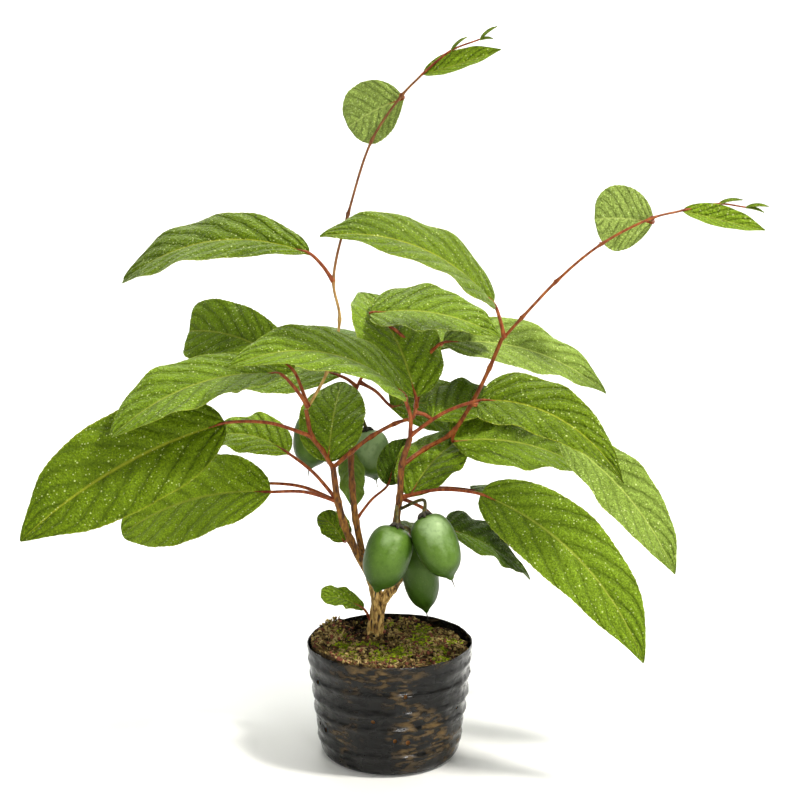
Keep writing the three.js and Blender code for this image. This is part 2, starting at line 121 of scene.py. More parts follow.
def selectRim():
    bpy.ops.mesh.select_all(action="SELECT")
    bpy.ops.mesh.region_to_loop()


def closeRing():
    bpy.ops.mesh.edge_face_add()
    bpy.ops.mesh.poke()


def faceOutward():  # and leaves edit mode
    bpy.ops.mesh.select_all(action="SELECT")
    bpy.ops.mesh.normals_make_consistent(inside=False)
    bpy.ops.object.mode_set(mode="OBJECT")


def joinPieces(name, pieces):
    activate(*pieces)
    bpy.ops.object.join()
    pieces[0].name = name
    return pieces[0]


# Small helpers for materials
def makeMaterial(name, colour, roughness, **sockets):
    material = bpy.data.materials.new(name)
    material.use_nodes = True
    shader = material.node_tree.nodes["Principled BSDF"]
    shader.inputs["Base Color"].default_value = (*colour, 1)
    shader.inputs["Roughness"].default_value = roughness
    for socket, value in sockets.items():
        shader.inputs[socket.replace("_", " ")].default_value = value
    return material, material.node_tree, shader


def addNode(tree, kind, inputs, **settings):
    made = tree.nodes.new("ShaderNode" + kind)
    for key, value in settings.items():
        setattr(made, key, value)
    for key, value in inputs.items():
        if isinstance(value, bpy.types.NodeSocket):
            tree.links.new(value, made.inputs[key])
        else:
            made.inputs[key].default_value = value
    return made


def objectPlace(tree, stretch=(1, 1, 1)):
    place = addNode(tree, "TexCoord", {}).outputs["Object"]
    return addNode(tree, "Mapping", {"Vector": place, "Scale": stretch}).outputs["Vector"]


def heightAt(tree):
    return addNode(tree, "SeparateXYZ", {0: objectPlace(tree)}).outputs["Z"]


def noiseAt(tree, place, grain, detail=4, distortion=0):  # grain is the size of its features
    inputs = {"Vector": place, "Scale": 1 / (grain * mm), "Detail": detail, "Distortion": distortion}
    return addNode(tree, "TexNoise", inputs).outputs["Fac"]


def cellsAt(tree, place, grain, feature="F1"):
    made = addNode(tree, "TexVoronoi", {"Vector": place, "Scale": 1 / (grain * mm)}, feature=feature)
    return made.outputs["Distance"]


def band(tree, factor, *stops):  # each stop is (place, grey or colour)
    made = addNode(tree, "ValToRGB", {"Fac": factor})
    elements = made.color_ramp.elements
    while len(elements) < len(stops):
        elements.new(1)
    for element, (place, tone) in zip(elements, stops):
        element.position = place
        element.color = (*tone, 1) if isinstance(tone, tuple) else (tone, tone, tone, 1)
    return made.outputs["Color"]


def sumOf(tree, operation, first, second=0.5, third=0.5):
    made = addNode(tree, "Math", {0: first, 1: second, 2: third}, operation=operation)
    return made.outputs["Value"]


def blendOf(tree, factor, first, second):
    first, second = [(*c, 1) if isinstance(c, tuple) else c for c in (first, second)]
    made = addNode(tree, "Mix", {0: factor, 6: first, 7: second}, data_type="RGBA")
    return made.outputs[2]


def paintOver(tree, colour, *coats):  # each coat is its tone, its factor and the factor's stops
    for tone, factor, *stops in coats:
        colour = blendOf(tree, band(tree, factor, *stops), colour, tone)
    return colour


def finishWith(tree, shader, colour, roughness=None, relief=()):
    tree.links.new(colour, shader.inputs["Base Color"])
    if roughness is not None:
        tree.links.new(roughness, shader.inputs["Roughness"])
    inputs = {}
    for height, depth in relief:
        inputs = {**inputs, "Height": height, "Distance": depth * mm}
        inputs["Normal"] = addNode(tree, "Bump", inputs).outputs["Normal"]
    if relief:
        tree.links.new(inputs["Normal"], shader.inputs["Normal"])


# Camera, floor and light: the floor and the lamps are in metres
camera = {"place": (6, -842, 365), "pitch": 10, "lens": 65.79}
floor = {"width": 9, "near": -3.5, "far": 3.2, "wall": 4, "bend": 1.6, "colour": (0.88, 0.88, 0.87)}
lamps = {  # place, aim, size, power and colour
    "keyLamp": ((0.8, -0.36, 1.42), (0, 0, 0.2), 0.2, 25, (1, 0.97, 0.9)),
    "fillLamp": ((-1.2, -1.3, 0.9), (0, 0, 0.2), 1.2, 3, (1, 1, 0.98)),
    "sideLamp": ((0.6, -1.4, 0.33), (0, 0, 0.05), 0.25, 8, (1, 0.99, 0.96)),
    "backLamp": ((-0.3, 1.1, 1.5), (0, 0, 0.2), 0.7, 7, (1, 0.99, 0.94)),
    "wallLamp": ((0, 0.9, 2.6), (0, 3.2, 1.1), 2, 95, (1, 1, 1)),
}
sky = {"colour": (1, 1, 0.98), "strength": 0.5}


def setUpView():
    turn = (math.radians(90 - camera["pitch"]), 0, 0)
    bpy.ops.object.camera_add(location=Vector(camera["place"]) * mm, rotation=turn)
    bpy.context.scene.camera = bpy.context.object
    bpy.context.object.data.lens = camera["lens"]
    bpy.context.scene.view_settings.view_transform = "Standard"
    for name, (place, aim, size, power, colour) in lamps.items():
        bpy.ops.object.light_add(type="AREA", location=place)
        light = bpy.context.object
        light.name = name
        light.data.size = size
        light.data.energy = power
        light.data.color = colour
        light.rotation_euler = (Vector(aim) - light.location).to_track_quat("-Z", "Y").to_euler()
    world = bpy.data.worlds.new("paleSky")
    bpy.context.scene.world = world
    world.use_nodes = True
    background = world.node_tree.nodes["Background"]
    background.inputs["Color"].default_value = (*sky["colour"], 1)
    background.inputs["Strength"].default_value = sky["strength"]


def makeFloor():
    bpy.ops.mesh.primitive_plane_add(size=1, location=(0, (floor["far"] + floor["near"]) / 2, 0))
    piece = bpy.context.object
    piece.name = "paleFloor"
    piece.scale = (floor["width"], floor["far"] - floor["near"], 1)
    settle(piece)
    bpy.ops.object.mode_set(mode="EDIT")
    bpy.ops.mesh.select_mode(type="EDGE")
    shape = bmesh.from_edit_mesh(piece.data)
    for edge in shape.edges:
        edge.select = all(corner.co.y > floor["far"] / 2 for corner in edge.verts)
    shape.select_flush(True)
    extrudeUp(floor["wall"] / mm)
    bpy.ops.object.mode_set(mode="OBJECT")
    bend = piece.modifiers.new("bend", "BEVEL")
    bend.width = floor["bend"]
    bend.segments = 12
    applyAll(piece)
    smoothOver(piece, 40)
    wear(piece, makeMaterial("paleFloor", floor["colour"], 0.8)[0])


setUpView()
makeFloor()
print("view and floor ready")


# The rules of growth, as in the source
def direction(heading, rise):  # one unit vector for each rise
    heading, rise = np.radians(heading), np.radians(rise)
    level = np.cos(rise)
    return np.stack([np.cos(heading) * level, np.sin(heading) * level, np.sin(rise)], axis=-1)


def smoothStep(value, low, high):
    share = np.clip((value - low) / (high - low), 0, 1)
    return share * share * (3 - 2 * share)


def unit(vectors):
    return vectors / np.linalg.norm(vectors, axis=-1, keepdims=True)


def anglesOf(sides):
    return np.arange(sides) * 2 * np.pi / sides


def sideOf(aim, roll):  # level, then rolled about the aim
    side, roll = unit(np.cross(aim, (0, 0, 1))), np.radians(roll)
    return side * np.cos(roll) + np.cross(aim, side) * np.sin(roll)


def curvePoint(nodes, share):  # a centripetal curve through the nodes
    nodes = [np.array(node, float) for node in nodes]
    nodes = [2 * nodes[0] - nodes[1], *nodes, 2 * nodes[-1] - nodes[-2]]
    spans = len(nodes) - 3
    span = min(int(share * spans), spans - 1)
    weight = share * spans - span
    a, b, c, d = nodes[span:span + 4]
    gaps = [np.linalg.norm(q - p) ** 0.5 for p, q in ((a, b), (b, c), (c, d))]
    leave = ((b - a) / gaps[0] - (c - a) / (gaps[0] + gaps[1]) + (c - b) / gaps[1]) * gaps[1]
    reach = ((c - b) / gaps[1] - (d - b) / (gaps[1] + gaps[2]) + (d - c) / gaps[2]) * gaps[1]
    square = -3 * b + 3 * c - 2 * leave - reach
    cube = 2 * b - 2 * c + leave + reach
    return b + leave * weight + square * weight ** 2 + cube * weight ** 3


def curvePoints(nodes, step):  # evenly spaced, with each one's share of the length
    rough = np.array([curvePoint(nodes, share) for share in np.linspace(0, 1, 40 * len(nodes))])
    lengths = np.concatenate([[0], np.cumsum(np.linalg.norm(np.diff(rough, axis=0), axis=1))])
    count = max(4, int(lengths[-1] / step))
    even = np.linspace(0, lengths[-1], count + 1)
    points = np.stack([np.interp(even, lengths, rough[:, k]) for k in range(3)], axis=1)
    return points, np.linspace(0, 1, count + 1), lengths[-1]


def nodeOf(limb, number):
    return curvePoint(limb["nodes"], number / (len(limb["nodes"]) - 1))


def nodePlace(name, number):
    return nodeOf(trunk["foot"] if name == "trunk" else stems[name], number)


# Parts are (corners, faces, material numbers, map places), and joinParts makes them one mesh
def tube(points, radii, sides, material=0):
    tangents = unit(np.gradient(points, axis=0))
    normal = np.cross(tangents[0], (0.3, 1, 0.2))
    angles = anglesOf(sides)
    if np.ndim(radii) < 2:
        radii = np.reshape(radii, (-1, 1))
    radii = np.broadcast_to(radii, (len(points), sides))
    rings = []
    for point, tangent, radius in zip(points, tangents, radii):
        normal = unit(normal - tangent * np.dot(normal, tangent))
        across = np.cross(tangent, normal)
        spokes = np.outer(np.cos(angles), normal) + np.outer(np.sin(angles), across)
        rings.append(point + spokes * radius[:, None])
    last = len(points) - 1
    faces = []
    for i in range(last):
        for k in range(sides):
            m = (k + 1) % sides
            faces.append((i * sides + k, i * sides + m, (i + 1) * sides + m, (i + 1) * sides + k))
    faces.append(tuple(range(sides - 1, -1, -1)))
    faces.append(tuple(last * sides + k for k in range(sides)))
    return np.concatenate(rings), faces, [material] * len(faces), None


def joinParts(name, parts, *materials, mapName=None):
    corners, faces, numbers, maps = [], [], [], []
    offset = 0
    for partCorners, partFaces, partNumbers, partMap in parts:
        corners.append(partCorners)
        faces.extend(tuple(index + offset for index in face) for face in partFaces)
        numbers.extend(partNumbers)
        if partMap is not None:
            maps.append(partMap)
        offset += len(partCorners)
    data = bpy.data.meshes.new(name)
    data.from_pydata((np.concatenate(corners) * mm).tolist(), [], faces)
    if mapName:
        places = np.concatenate(maps)
        corner = np.empty(len(data.loops), int)
        data.loops.foreach_get("vertex_index", corner)
        layer = data.uv_layers.new(name=mapName)
        layer.data.foreach_set("uv", places[corner].astype(np.float32).ravel())
    piece = bpy.data.objects.new(name, data)
    bpy.context.scene.collection.objects.link(piece)
    wear(piece, *materials)
    data.polygons.foreach_set("material_index", numbers)
    smoothOver(piece, 55)
    return piece


# Trunk and stems: the radius at each end, and the nodes that each passes through
def limbOf(ends, *nodes):
    return {"ends": ends, "nodes": nodes}


trunk = {
    "foot": limbOf((4.8, 4.3), (-9.5, 22, 62.4), (-9.5, 22, 68), (-8, 21, 79), (-6, 19, 92)),
    "leftArm": limbOf((4, 3), (-7, 20, 84), (-11, 18, 102), (-18.5, 16, 118)),
    "rightArm": limbOf((3.3, 2.7), (-7, 20, 84), (0.5, 17, 96), (7, 15, 106)),
    "sides": 40, "step": 0.8, "flare": 1.8, "flareHeight": 0.16, "roots": (3, 0.35), "ridges": (5, 0.5, 9),
}
stems = {
    "stem_left": limbOf(
        (2.5, 1.8), (-18, 17, 115), (-24, 14, 128), (-28, 12, 139), (-31, 10, 153), (-34, 8, 175)),
    "stem_left_upper": limbOf((1.7, 1.5), (-34, 8, 174), (-40, 6, 185), (-46, 4, 194), (-49, 0, 211)),
    "shoot_tall": limbOf(
        (1.4, 1), (-49, 0, 210), (-37, 10, 232), (-29.5, 14, 262), (-33, 12, 285), (-24, 8, 324),
        (-10, 3, 366), (7, -2, 391), (18, -5, 402)),
    "stem_cross": limbOf(
        (1.7, 1.3), (-34, 8, 174), (-23, 12, 183), (-11, 15, 192), (3, 18, 199), (14, 20, 202)),
    "stem_middle": limbOf(
        (2.2, 1.5), (-16, 19, 113), (-21, 23, 138), (-23, 27, 159), (-24, 31, 176), (-22, 52, 212)),
    "stem_centre": limbOf(
        (2.4, 1.7), (6, 15, 104), (6, 12, 124), (4, 8, 141), (6, 4, 157), (7, 0, 178), (12, -4, 195)),
    "stem_right": limbOf(
        (1.7, 1.4), (7, 0, 177), (21, 12, 185), (36, 12, 194), (48, 2, 214), (58, -2, 236), (65, -6, 254)),
    "shoot_right": limbOf(
        (1.4, 1), (65, -6, 253), (76, -8, 266), (95.5, -6, 286.5), (121.5, -2, 307.7), (151, 4, 322),
        (168, 8, 326)),
}
stemDetail = {
    "sides": 18, "step": 1.2, "slim": 0.8, "shootSlim": 0.66, "swelling": 0.4, "swellingLength": 2.2,
    "grooves": 3, "groove": 0.1, "windLength": 9, "budLength": 1.8, "budRadius": 0.9, "budRise": 35,
}
barkDetail = {
    "voxel": 0.45, "furrow": 1.5, "furrowGrain": 2.2, "furrowLength": 4, "smoothing": (92, 112),
    "calmed": 0.75, "soften": (0.6, 3),
}


def growLimb(limb, swell=True, slim=1):
    points, shares, length = curvePoints(limb["nodes"], stemDetail["step"])
    radii = np.interp(shares, (0, 1), limb["ends"]) * slim
    if swell:
        for number in range(1, len(limb["nodes"]) - 1):
            gap = np.linalg.norm(points - nodeOf(limb, number), axis=1) / stemDetail["swellingLength"]
            radii = radii + stemDetail["swelling"] * np.exp(-gap ** 2)
    angles = stemDetail["grooves"] * anglesOf(stemDetail["sides"])
    wind = angles[None, :] + (shares * length / stemDetail["windLength"])[:, None]
    ridged = radii[:, None] * (1 + stemDetail["groove"] * np.cos(wind))
    return tube(points, ridged, stemDetail["sides"])


def growFoot():
    startRadius, endRadius = trunk["foot"]["ends"]
    points, shares, _ = curvePoints(trunk["foot"]["nodes"], trunk["step"])
    angles = anglesOf(trunk["sides"])[None, :]
    shares = shares[:, None]
    rootCount, rootSize = trunk["roots"]
    ridgeCount, ridgeSize, wind = trunk["ridges"]
    flare = trunk["flare"] * np.exp(-shares / trunk["flareHeight"])
    roots = 1 + rootSize * np.cos(rootCount * angles + 1)
    ridges = ridgeSize * np.cos(ridgeCount * angles + wind * shares)
    radii = startRadius + (endRadius - startRadius) * shares + flare * roots + ridges
    return tube(points, radii, trunk["sides"])


def growBud(place, aim):  # a small pointed bud above a leaf's node
    shares = np.linspace(0, 1, 6)
    points = place + np.outer(shares * stemDetail["budLength"], aim)
    return tube(points, stemDetail["budRadius"] * np.sqrt(1.02 - shares), 8)


def barkMaterial():
    material, tree, shader = makeMaterial("oldBark", (0.3, 0.17, 0.07), 0.8)
    place = objectPlace(tree, (1, 1, 0.28))
    furrows = noiseAt(tree, place, 1.7, 6, 0.6)
    tanStops = [(0.36, (0.03, 0.013, 0.003)), (0.48, (0.34, 0.19, 0.045)), (0.66, (0.78, 0.53, 0.17))]
    tan = band(tree, furrows, *tanStops)
    orange = band(tree, furrows, (0.36, (0.04, 0.012, 0.002)), (0.62, (0.33, 0.14, 0.014)))
    red = band(tree, furrows, (0.34, (0.05, 0.013, 0.002)), (0.65, (0.25, 0.075, 0.008)))
    patchy = sumOf(tree, "MULTIPLY_ADD", noiseAt(tree, objectPlace(tree), 9, 2), 0.03, heightAt(tree))
    colour = paintOver(
        tree, tan, (orange, patchy, (0.115, 0), (0.132, 1)), (red, patchy, (0.155, 0), (0.19, 1)))
    finishWith(tree, shader, colour, relief=[(furrows, 0.5), (noiseAt(tree, place, 0.5, 3), 0.12)])
    return material


def stemMaterial(name, deep, pale, tanFrom=None, tanTo=None):
    material, tree, shader = makeMaterial(name, deep, 0.45, Specular_IOR_Level=0.2)
    streaks = noiseAt(tree, objectPlace(tree, (1, 1, 0.4)), 2.2, 4)
    colour = band(tree, streaks, (0.35, deep), (0.7, pale))
    if tanFrom is not None:
        tan = band(tree, streaks, (0.35, (0.3, 0.16, 0.04)), (0.65, (0.5, 0.33, 0.1)))
        colour = paintOver(tree, tan, (colour, heightAt(tree), (tanFrom * mm, 0), (tanTo * mm, 1)))
    hairs = noiseAt(tree, objectPlace(tree), 0.35, 2)
    finishWith(tree, shader, colour, relief=[(streaks, 0.25), (hairs, 0.06)])
    return material


def makeOldWood():
    limbs = [trunk["leftArm"], trunk["rightArm"]]
    limbs += [stems[name] for name in ("stem_left", "stem_middle", "stem_centre")]
    parts = [growFoot()] + [growLimb(limb) for limb in limbs]
    piece = joinParts("oldWood", parts, barkMaterial())
    fuse = piece.modifiers.new("fuse", "REMESH")
    fuse.mode = "VOXEL"
    fuse.voxel_size = barkDetail["voxel"] * mm
    applyAll(piece)
    soften = piece.modifiers.new("soften", "SMOOTH")
    soften.factor, soften.iterations = barkDetail["soften"]
    group = piece.vertex_groups.new(name="rough")
    for corner in piece.data.vertices:
        smoother = smoothStep(corner.co.z / mm, *barkDetail["smoothing"])
        group.add([corner.index], float(1 - barkDetail["calmed"] * smoother), "REPLACE")
    detail = barkDetail["furrowGrain"], 3, barkDetail["furrow"], "rough", barkDetail["furrowLength"]
    addRelief(piece, "furrows", *detail)
    applyAll(piece)
    piece.vertex_groups.clear()
    activate(piece)
    bpy.ops.object.shade_smooth()
    handOver(piece, "bark", "trunk", "stem_left", "stem_middle", "stem_centre")


def makeStems():
    red = stemMaterial("redStem", (0.12, 0.022, 0.004), (0.3, 0.085, 0.012))
    reddish = stemMaterial("tallShoot", (0.12, 0.035, 0.01), (0.28, 0.12, 0.04), 255, 300)
    groups = {
        "redStems": (["stem_left_upper", "stem_cross", "stem_right"], red),
        "tallShoot": (["shoot_tall"], reddish),
        "rightShoot": (["shoot_right"], red),
    }
    for name, (limbs, material) in groups.items():
        parts = []
        for limb in limbs:
            slim = stemDetail["shootSlim" if "shoot" in limb else "slim"]
            parts.append(growLimb(stems[limb], slim=slim))
            for number in range(1, len(stems[limb]["nodes"]) - 1):
                aim = direction(dice.uniform(-180, 180), stemDetail["budRise"])
                parts.append(growBud(nodePlace(limb, number), aim))
        handOver(joinParts(name, parts, material), "stem", *limbs)


makeOldWood()
makeStems()
print("trunk and stems ready")


# Leaves: each grows from a node of a stem, or from a node of its own twig
# stalk is (reach, heading, rise), blade is (length, width) and aim is (heading, rise)
def leaf(stalk, blade, aim, droop, roll, at=0, **form):
    return {"stalk": stalk, "blade": blade, "aim": aim, "droop": droop, "roll": roll, "at": at, "form": form}


def mass(stem, node, *leaves, twig=None):
    return {"on": (stem, node), "leaves": leaves, "twig": twig}


leafForm = {
    "cuts": (32, 84), "fold": 14, "curl": 0.12, "fill": (0.55, 0.75), "drip": 0.3, "end": 0.5,
    "dripStart": 0.75, "veins": 7, "lean": 0.27, "bow": 0.07, "quilt": 1.1, "groove": 0.9, "rib": 0.9,
    "thick": 0.45, "teeth": 0.5, "teethCount": 34, "wave": 1.5, "tone": "leavesMid",
}
roundForm = {
    "fold": 5, "curl": 0.05, "fill": (0.65, 0.45), "drip": 0, "cuts": (24, 30), "teethCount": 14,
    "quilt": 0.35, "veins": 5, "wave": 0.5, "tone": "young",
}
budForm = {
    "fold": 25, "curl": 0, "fill": (0.6, 0.8), "drip": 0.2, "cuts": (16, 36), "teeth": 0.15, "quilt": 0.3,
    "wave": 0.4, "groove": 0.3, "rib": 0.3, "thick": 0.3, "tone": "tips",
}
tuftForm = {**budForm, "cuts": (8, 12), "quilt": 0, "wave": 0}
# A leaf's tone, unless it is the middle one, gives it painted light or painted shade.
foliage = {
    "foliage_centre": mass(
        "stem_cross", 4,
        leaf((45, -170, 41), (82, 52), (-10, 12), 42, 24, at=2, fill=(0.4, 0.7)),
        leaf((18, -34, 42), (110, 46), (6, 6), 48, 34, at=2, tone="leavesPaintedLight"),
        leaf((9, -90, 50), (88, 58), (124, 68), 50, 0, at=0.4),
        leaf((12, 10, -20), (72, 46), (36, 25), 50, 20, at=0.2),
        leaf((16, 52, 34), (100, 52), (56, 22), 52, 8, at=1.8),
        twig=limbOf((1.3, 1.1), (14, 20, 202), (18, 32, 217), (21, 42, 234))),
    "foliage_front": mass(
        "stem_centre", 5,
        leaf((5, -101, 53), (115, 49), (-154, 46), 68, -29, at=2, fill=(0.28, 0.7)),
        leaf((47, -14, 29), (103, 43), (-31, 10), 66, 34, at=0.1, fill=(0.3, 0.95), tone="leavesPaintedHalfShade"),
        twig=limbOf((1.6, 1.3), (12, -4, 195), (12, -8, 208), (9, -13, 219))),
    "foliage_back": mass(
        "stem_middle", 4,
        leaf((14, 160, 30), (110, 62), (150, 14), 50, -33, at=0.3, fill=(0.5, 0.95)),
        leaf((12, 95, 20), (102, 58), (104, 22), 56, 0, at=2, tone="leavesShade"),
        leaf((26, 10, -38), (100, 46), (44, 4), 46, 54, at=0.6, fill=(0.4, 0.75)),
        twig=limbOf((1.4, 1.1), (-22, 52, 212), (-17, 58, 222), (-9, 62, 230))),
    "foliage_right": mass(
        "stem_right", 3,
        leaf((56, 2, -21), (106, 40), (-22, -28), 38, 36, tone="leavesPaintedLight")),
    "foliage_right_under": mass(
        "stem_right", 2.2,
        leaf((12, 98, -48), (98, 58), (19, 4), 40, 30, fill=(0.32, 0.75))),
    "foliage_left": mass(
        "shoot_tall", 0.1,
        leaf((27, -159, 51), (109, 49), (-151, 10), 50, -20, fill=(0.55, 0.6)),
        leaf((24, 140, 60), (85, 42), (146, 32), 40, -62, fill=(0.45, 0.15), drip=0)),
    "foliage_big_left": mass(
        "stem_left_upper", 2,
        leaf((57, -149, 14), (132, 61), (-161, -12), 30, -58, tone="leavesPaintedHalfShade")),
    "foliage_low_left": mass(
        "stem_left", 3,
        leaf((41, -174, 10), (101, 60), (170, 2), 40, -50, fill=(0.55, 0.5), tone="leavesLit"),
        leaf((42, 165, 42), (66, 35), (152, 31), 60, -30, tone="leavesLit"),
        leaf((50, 157, 8), (95, 48), (150, -6), 40, 0, tone="leavesPaintedHalfShade")),
    "foliage_low_right": mass(
        "stem_centre", 3,
        leaf((51, -23, 8), (138, 46), (-27, -13), 55, 52, fill=(0.48, 0.75)),
        leaf((36, 16, -35), (68, 47), (19, -19), 30, 20, fill=(0.4, 0.75), tone="leavesShade"),
        leaf((6, -21, 14), (66, 44), (46, 52), 50, 10),
        leaf((48, 24, 0), (104, 48), (28, -12), 40, 0)),
    "foliage_inner": mass("stem_left", 4, leaf((7, 118, 10), (62, 42), (80, 70), 50, 0)),
    "foliage_inner_back": mass(
        "stem_middle", 1,
        leaf((29, 14, 46), (33, 22), (52, 68), 30, 42, tone="leavesShade")),
    "foliage_hanging": mass(
        "stem_middle", 3,
        leaf((6, 100, 24), (41, 20), (80, -85), -20, 20, tone="leavesShade")),
    "foliage_low_inner": mass(
        "stem_left", 1,
        leaf((9, 118, -20), (24, 21), (157, 66), 50, -30, fill=(0.5, 0.55), drip=0.1, cuts=(20, 30))),
    "foliage_low_back": mass(
        "stem_centre", 1,
        leaf((12, 70, 20), (76, 34), (72, 10), 60, 0, tone="leavesPaintedHalfShade")),
    "foliage_basal": mass(
        "trunk", 0.7,
        leaf((19, -143, 66), (30, 16), (-164, 43), 44, -36, fill=(0.5, 0.3), drip=0, cuts=(20, 30))),
    "foliage_high_left": mass(
        "shoot_tall", 3,
        leaf((22, -164, 50), (132, 50), (160, 19), 57, -32, fill=(0.65, 0.45), tone="leavesPaintedHalfShade")),
    "foliage_high_centre": mass(
        "shoot_right", 0.1,
        leaf((22, -131, 65), (118, 59), (-157, 50), 57, -30, fill=(0.42, 0.8), tone="leavesPaintedHalfShade")),
    "foliage_round_top": mass(
        "shoot_tall", 6,
        leaf((8, 85, -10), (37, 38), (164, -16), 20, -75, **roundForm)),
    "foliage_round_right": mass(
        "shoot_right", 4,
        leaf((8, 76, -22), (34, 39), (173, 13), 20, -78, **roundForm)),
    "foliage_tip_top": mass(
        "shoot_tall", 7,
        leaf(None, (46, 17), (-15, 13), -6, 54, at=0.05, **budForm),
        leaf(None, (12, 4), (-20, 48), 20, 30, at=1, **tuftForm),
        leaf(None, (12, 4), (-18, 45), 20, 30, at=2, **tuftForm),
        leaf(None, (8, 3), (-25, 12), 20, 30, at=2, **tuftForm),
        twig=limbOf((0.9, 0.6), (18, -5, 402), (34, -9, 415), (50, -12, 421))),
    "foliage_tip_right": mass(
        "shoot_right", 5,
        leaf(None, (48, 17), (-10, -13), 0, 50, at=0.05, **budForm),
        leaf(None, (14, 4), (-12, 20), 20, 30, at=1, **tuftForm),
        leaf(None, (13, 4), (-13, 13), 20, 30, at=2, **tuftForm),
        leaf(None, (11, 3), (-17, -5), 20, 30, at=2, **tuftForm),
        twig=limbOf((0.9, 0.6), (168, 8, 326), (190, 10, 330), (206, 10, 328))),
}
stalkDetail = {
    "radius": 1.2, "taper": 0.7, "bow": 0.07, "root": 10, "shortRoot": 0.35, "fullLeaf": 70, "thin": 0.35,
    "sides": 12, "step": 1.6, "foot": 0.5, "footLength": 3, "drop": 0.7,
}
bladeDetail = {
    "crowding": 1.2, "fullHalf": 12, "softFold": (0.003, 0.055), "ripple": 0.16, "ripples": (3, 25),
    "grooveWidth": 1.3, "ribWidth": 1.1, "vein": 0.3, "veinWidth": 0.2, "waves": (2.3, 4.1), "sway": 0.02,
}


def halfWidth(blade, form, u):
    toBase, toTip = form["fill"]
    widest = toBase / (toBase + toTip)
    outline = u ** toBase * (1 - u) ** toTip / (widest ** toBase * (1 - widest) ** toTip)
    drip = 1 - form["drip"] * smoothStep(u, form["dripStart"], 1)
    return np.maximum(form["end"], blade[1] / 2 * outline * drip)


def growBlade(spec, form, base, chance):
    across, along = form["cuts"]
    length = spec["blade"][0]
    heading, rise = spec["aim"]
    u = np.linspace(0, 1, along + 1)
    aim = direction(heading, rise - spec["droop"] * u)
    middles = direction(heading, rise - spec["droop"] * (u[:-1] + 0.5 / along))
    place = base + np.concatenate([[[0, 0, 0]], np.cumsum(middles * length / along, axis=0)])
    side = sideOf(aim, spec["roll"])
    face = np.cross(side, aim)
    a = np.linspace(-1, 1, across + 1)
    a = np.sign(a) * np.abs(a) ** bladeDetail["crowding"]
    u, a = u[:, None], a[None, :]
    half = halfWidth(spec["blade"], form, u)
    reach = np.abs(a)
    small = np.minimum(1, half / bladeDetail["fullHalf"])
    handed = np.where(a > 0, 0.5, 0)
    tooth = (u * form["teethCount"] + handed) % 1
    edge = form["teeth"] * small * (tooth - 0.5) * (reach > 0.999)
    fold = np.radians(form["fold"])
    out = a * half * np.cos(fold) + np.sign(a) * edge
    softness, lowered = bladeDetail["softFold"]
    softReach = np.sqrt(reach ** 2 + softness) - lowered
    raised = half * (softReach * np.sin(fold) - form["curl"] * a ** 2)
    phase = (u - form["lean"] * reach - form["bow"] * reach ** 2) * form["veins"] + handed
    inner = smoothStep(reach, 0, 0.25) * (1 - 0.8 * smoothStep(reach, 0.75, 1)) * small
    quilt = form["quilt"] * (np.abs(np.sin(np.pi * phase)) ** 0.6 - 0.5) * inner
    perVein, aside = bladeDetail["ripples"]
    fine = bladeDetail["ripple"] * np.sin(phase * 2 * np.pi * perVein + reach * aside) * inner
    x = a * half
    groove = form["groove"] * np.exp(-(x / bladeDetail["grooveWidth"]) ** 2) * (1 - 0.5 * u)
    longTurn, shortTurn, swayTurn = [chance.uniform(0, 6.28) for _ in range(3)]
    long, short = bladeDetail["waves"]
    wave = np.sin(2 * np.pi * long * u + longTurn + handed * 5)
    wave = wave + 0.6 * np.sin(2 * np.pi * short * u + shortTurn + a)
    wave = form["wave"] * wave * reach ** 2 * small * np.sin(np.pi * np.clip(u, 0.02, 0.98))
    sway = bladeDetail["sway"] * half * np.sin(5 * u + swayTurn) * a
    top = raised + quilt + fine - groove + wave + sway
    thick = form["thick"] * (1 - 0.65 * reach ** 4)
    rib = form["rib"] * np.exp(-(x / bladeDetail["ribWidth"]) ** 2) * (1 - 0.8 * u)
    fromVein = np.abs(np.sin(np.pi * phase)) / bladeDetail["veinWidth"]
    vein = bladeDetail["vein"] * np.exp(-fromVein ** 2) * inner
    below = top - thick - rib - vein
    upper = place[:, None] + side[:, None] * out[..., None] + face[:, None] * top[..., None]
    lower = place[:, None] + side[:, None] * out[..., None] + face[:, None] * below[..., None]
    corners = np.concatenate([upper.reshape(-1, 3), lower.reshape(-1, 3)])
    row = across + 1
    under = (along + 1) * row
    faces, numbers = [], []
    for i in range(along):
        for j in range(across):
            corner = i * row + j
            faces.append((corner, corner + 1, corner + 1 + row, corner + row))
            numbers.append(0)
            corner += under
            faces.append((corner + row, corner + row + 1, corner + 1, corner))
            numbers.append(1)
    rim = [(i * row, (i + 1) * row) for i in range(along)]
    rim += [((i + 1) * row + across, i * row + across) for i in range(along)]
    rim += [(j + 1, j) for j in range(across)]
    rim += [(along * row + j, along * row + j + 1) for j in range(across)]
    for first, second in rim:
        faces.append((first, second, second + under, first + under))
        numbers.append(0)
    mapped = np.stack(np.broadcast_arrays(u, (a + 1) / 2), axis=-1).reshape(-1, 2)
    return corners, faces, numbers, np.concatenate([mapped, mapped])


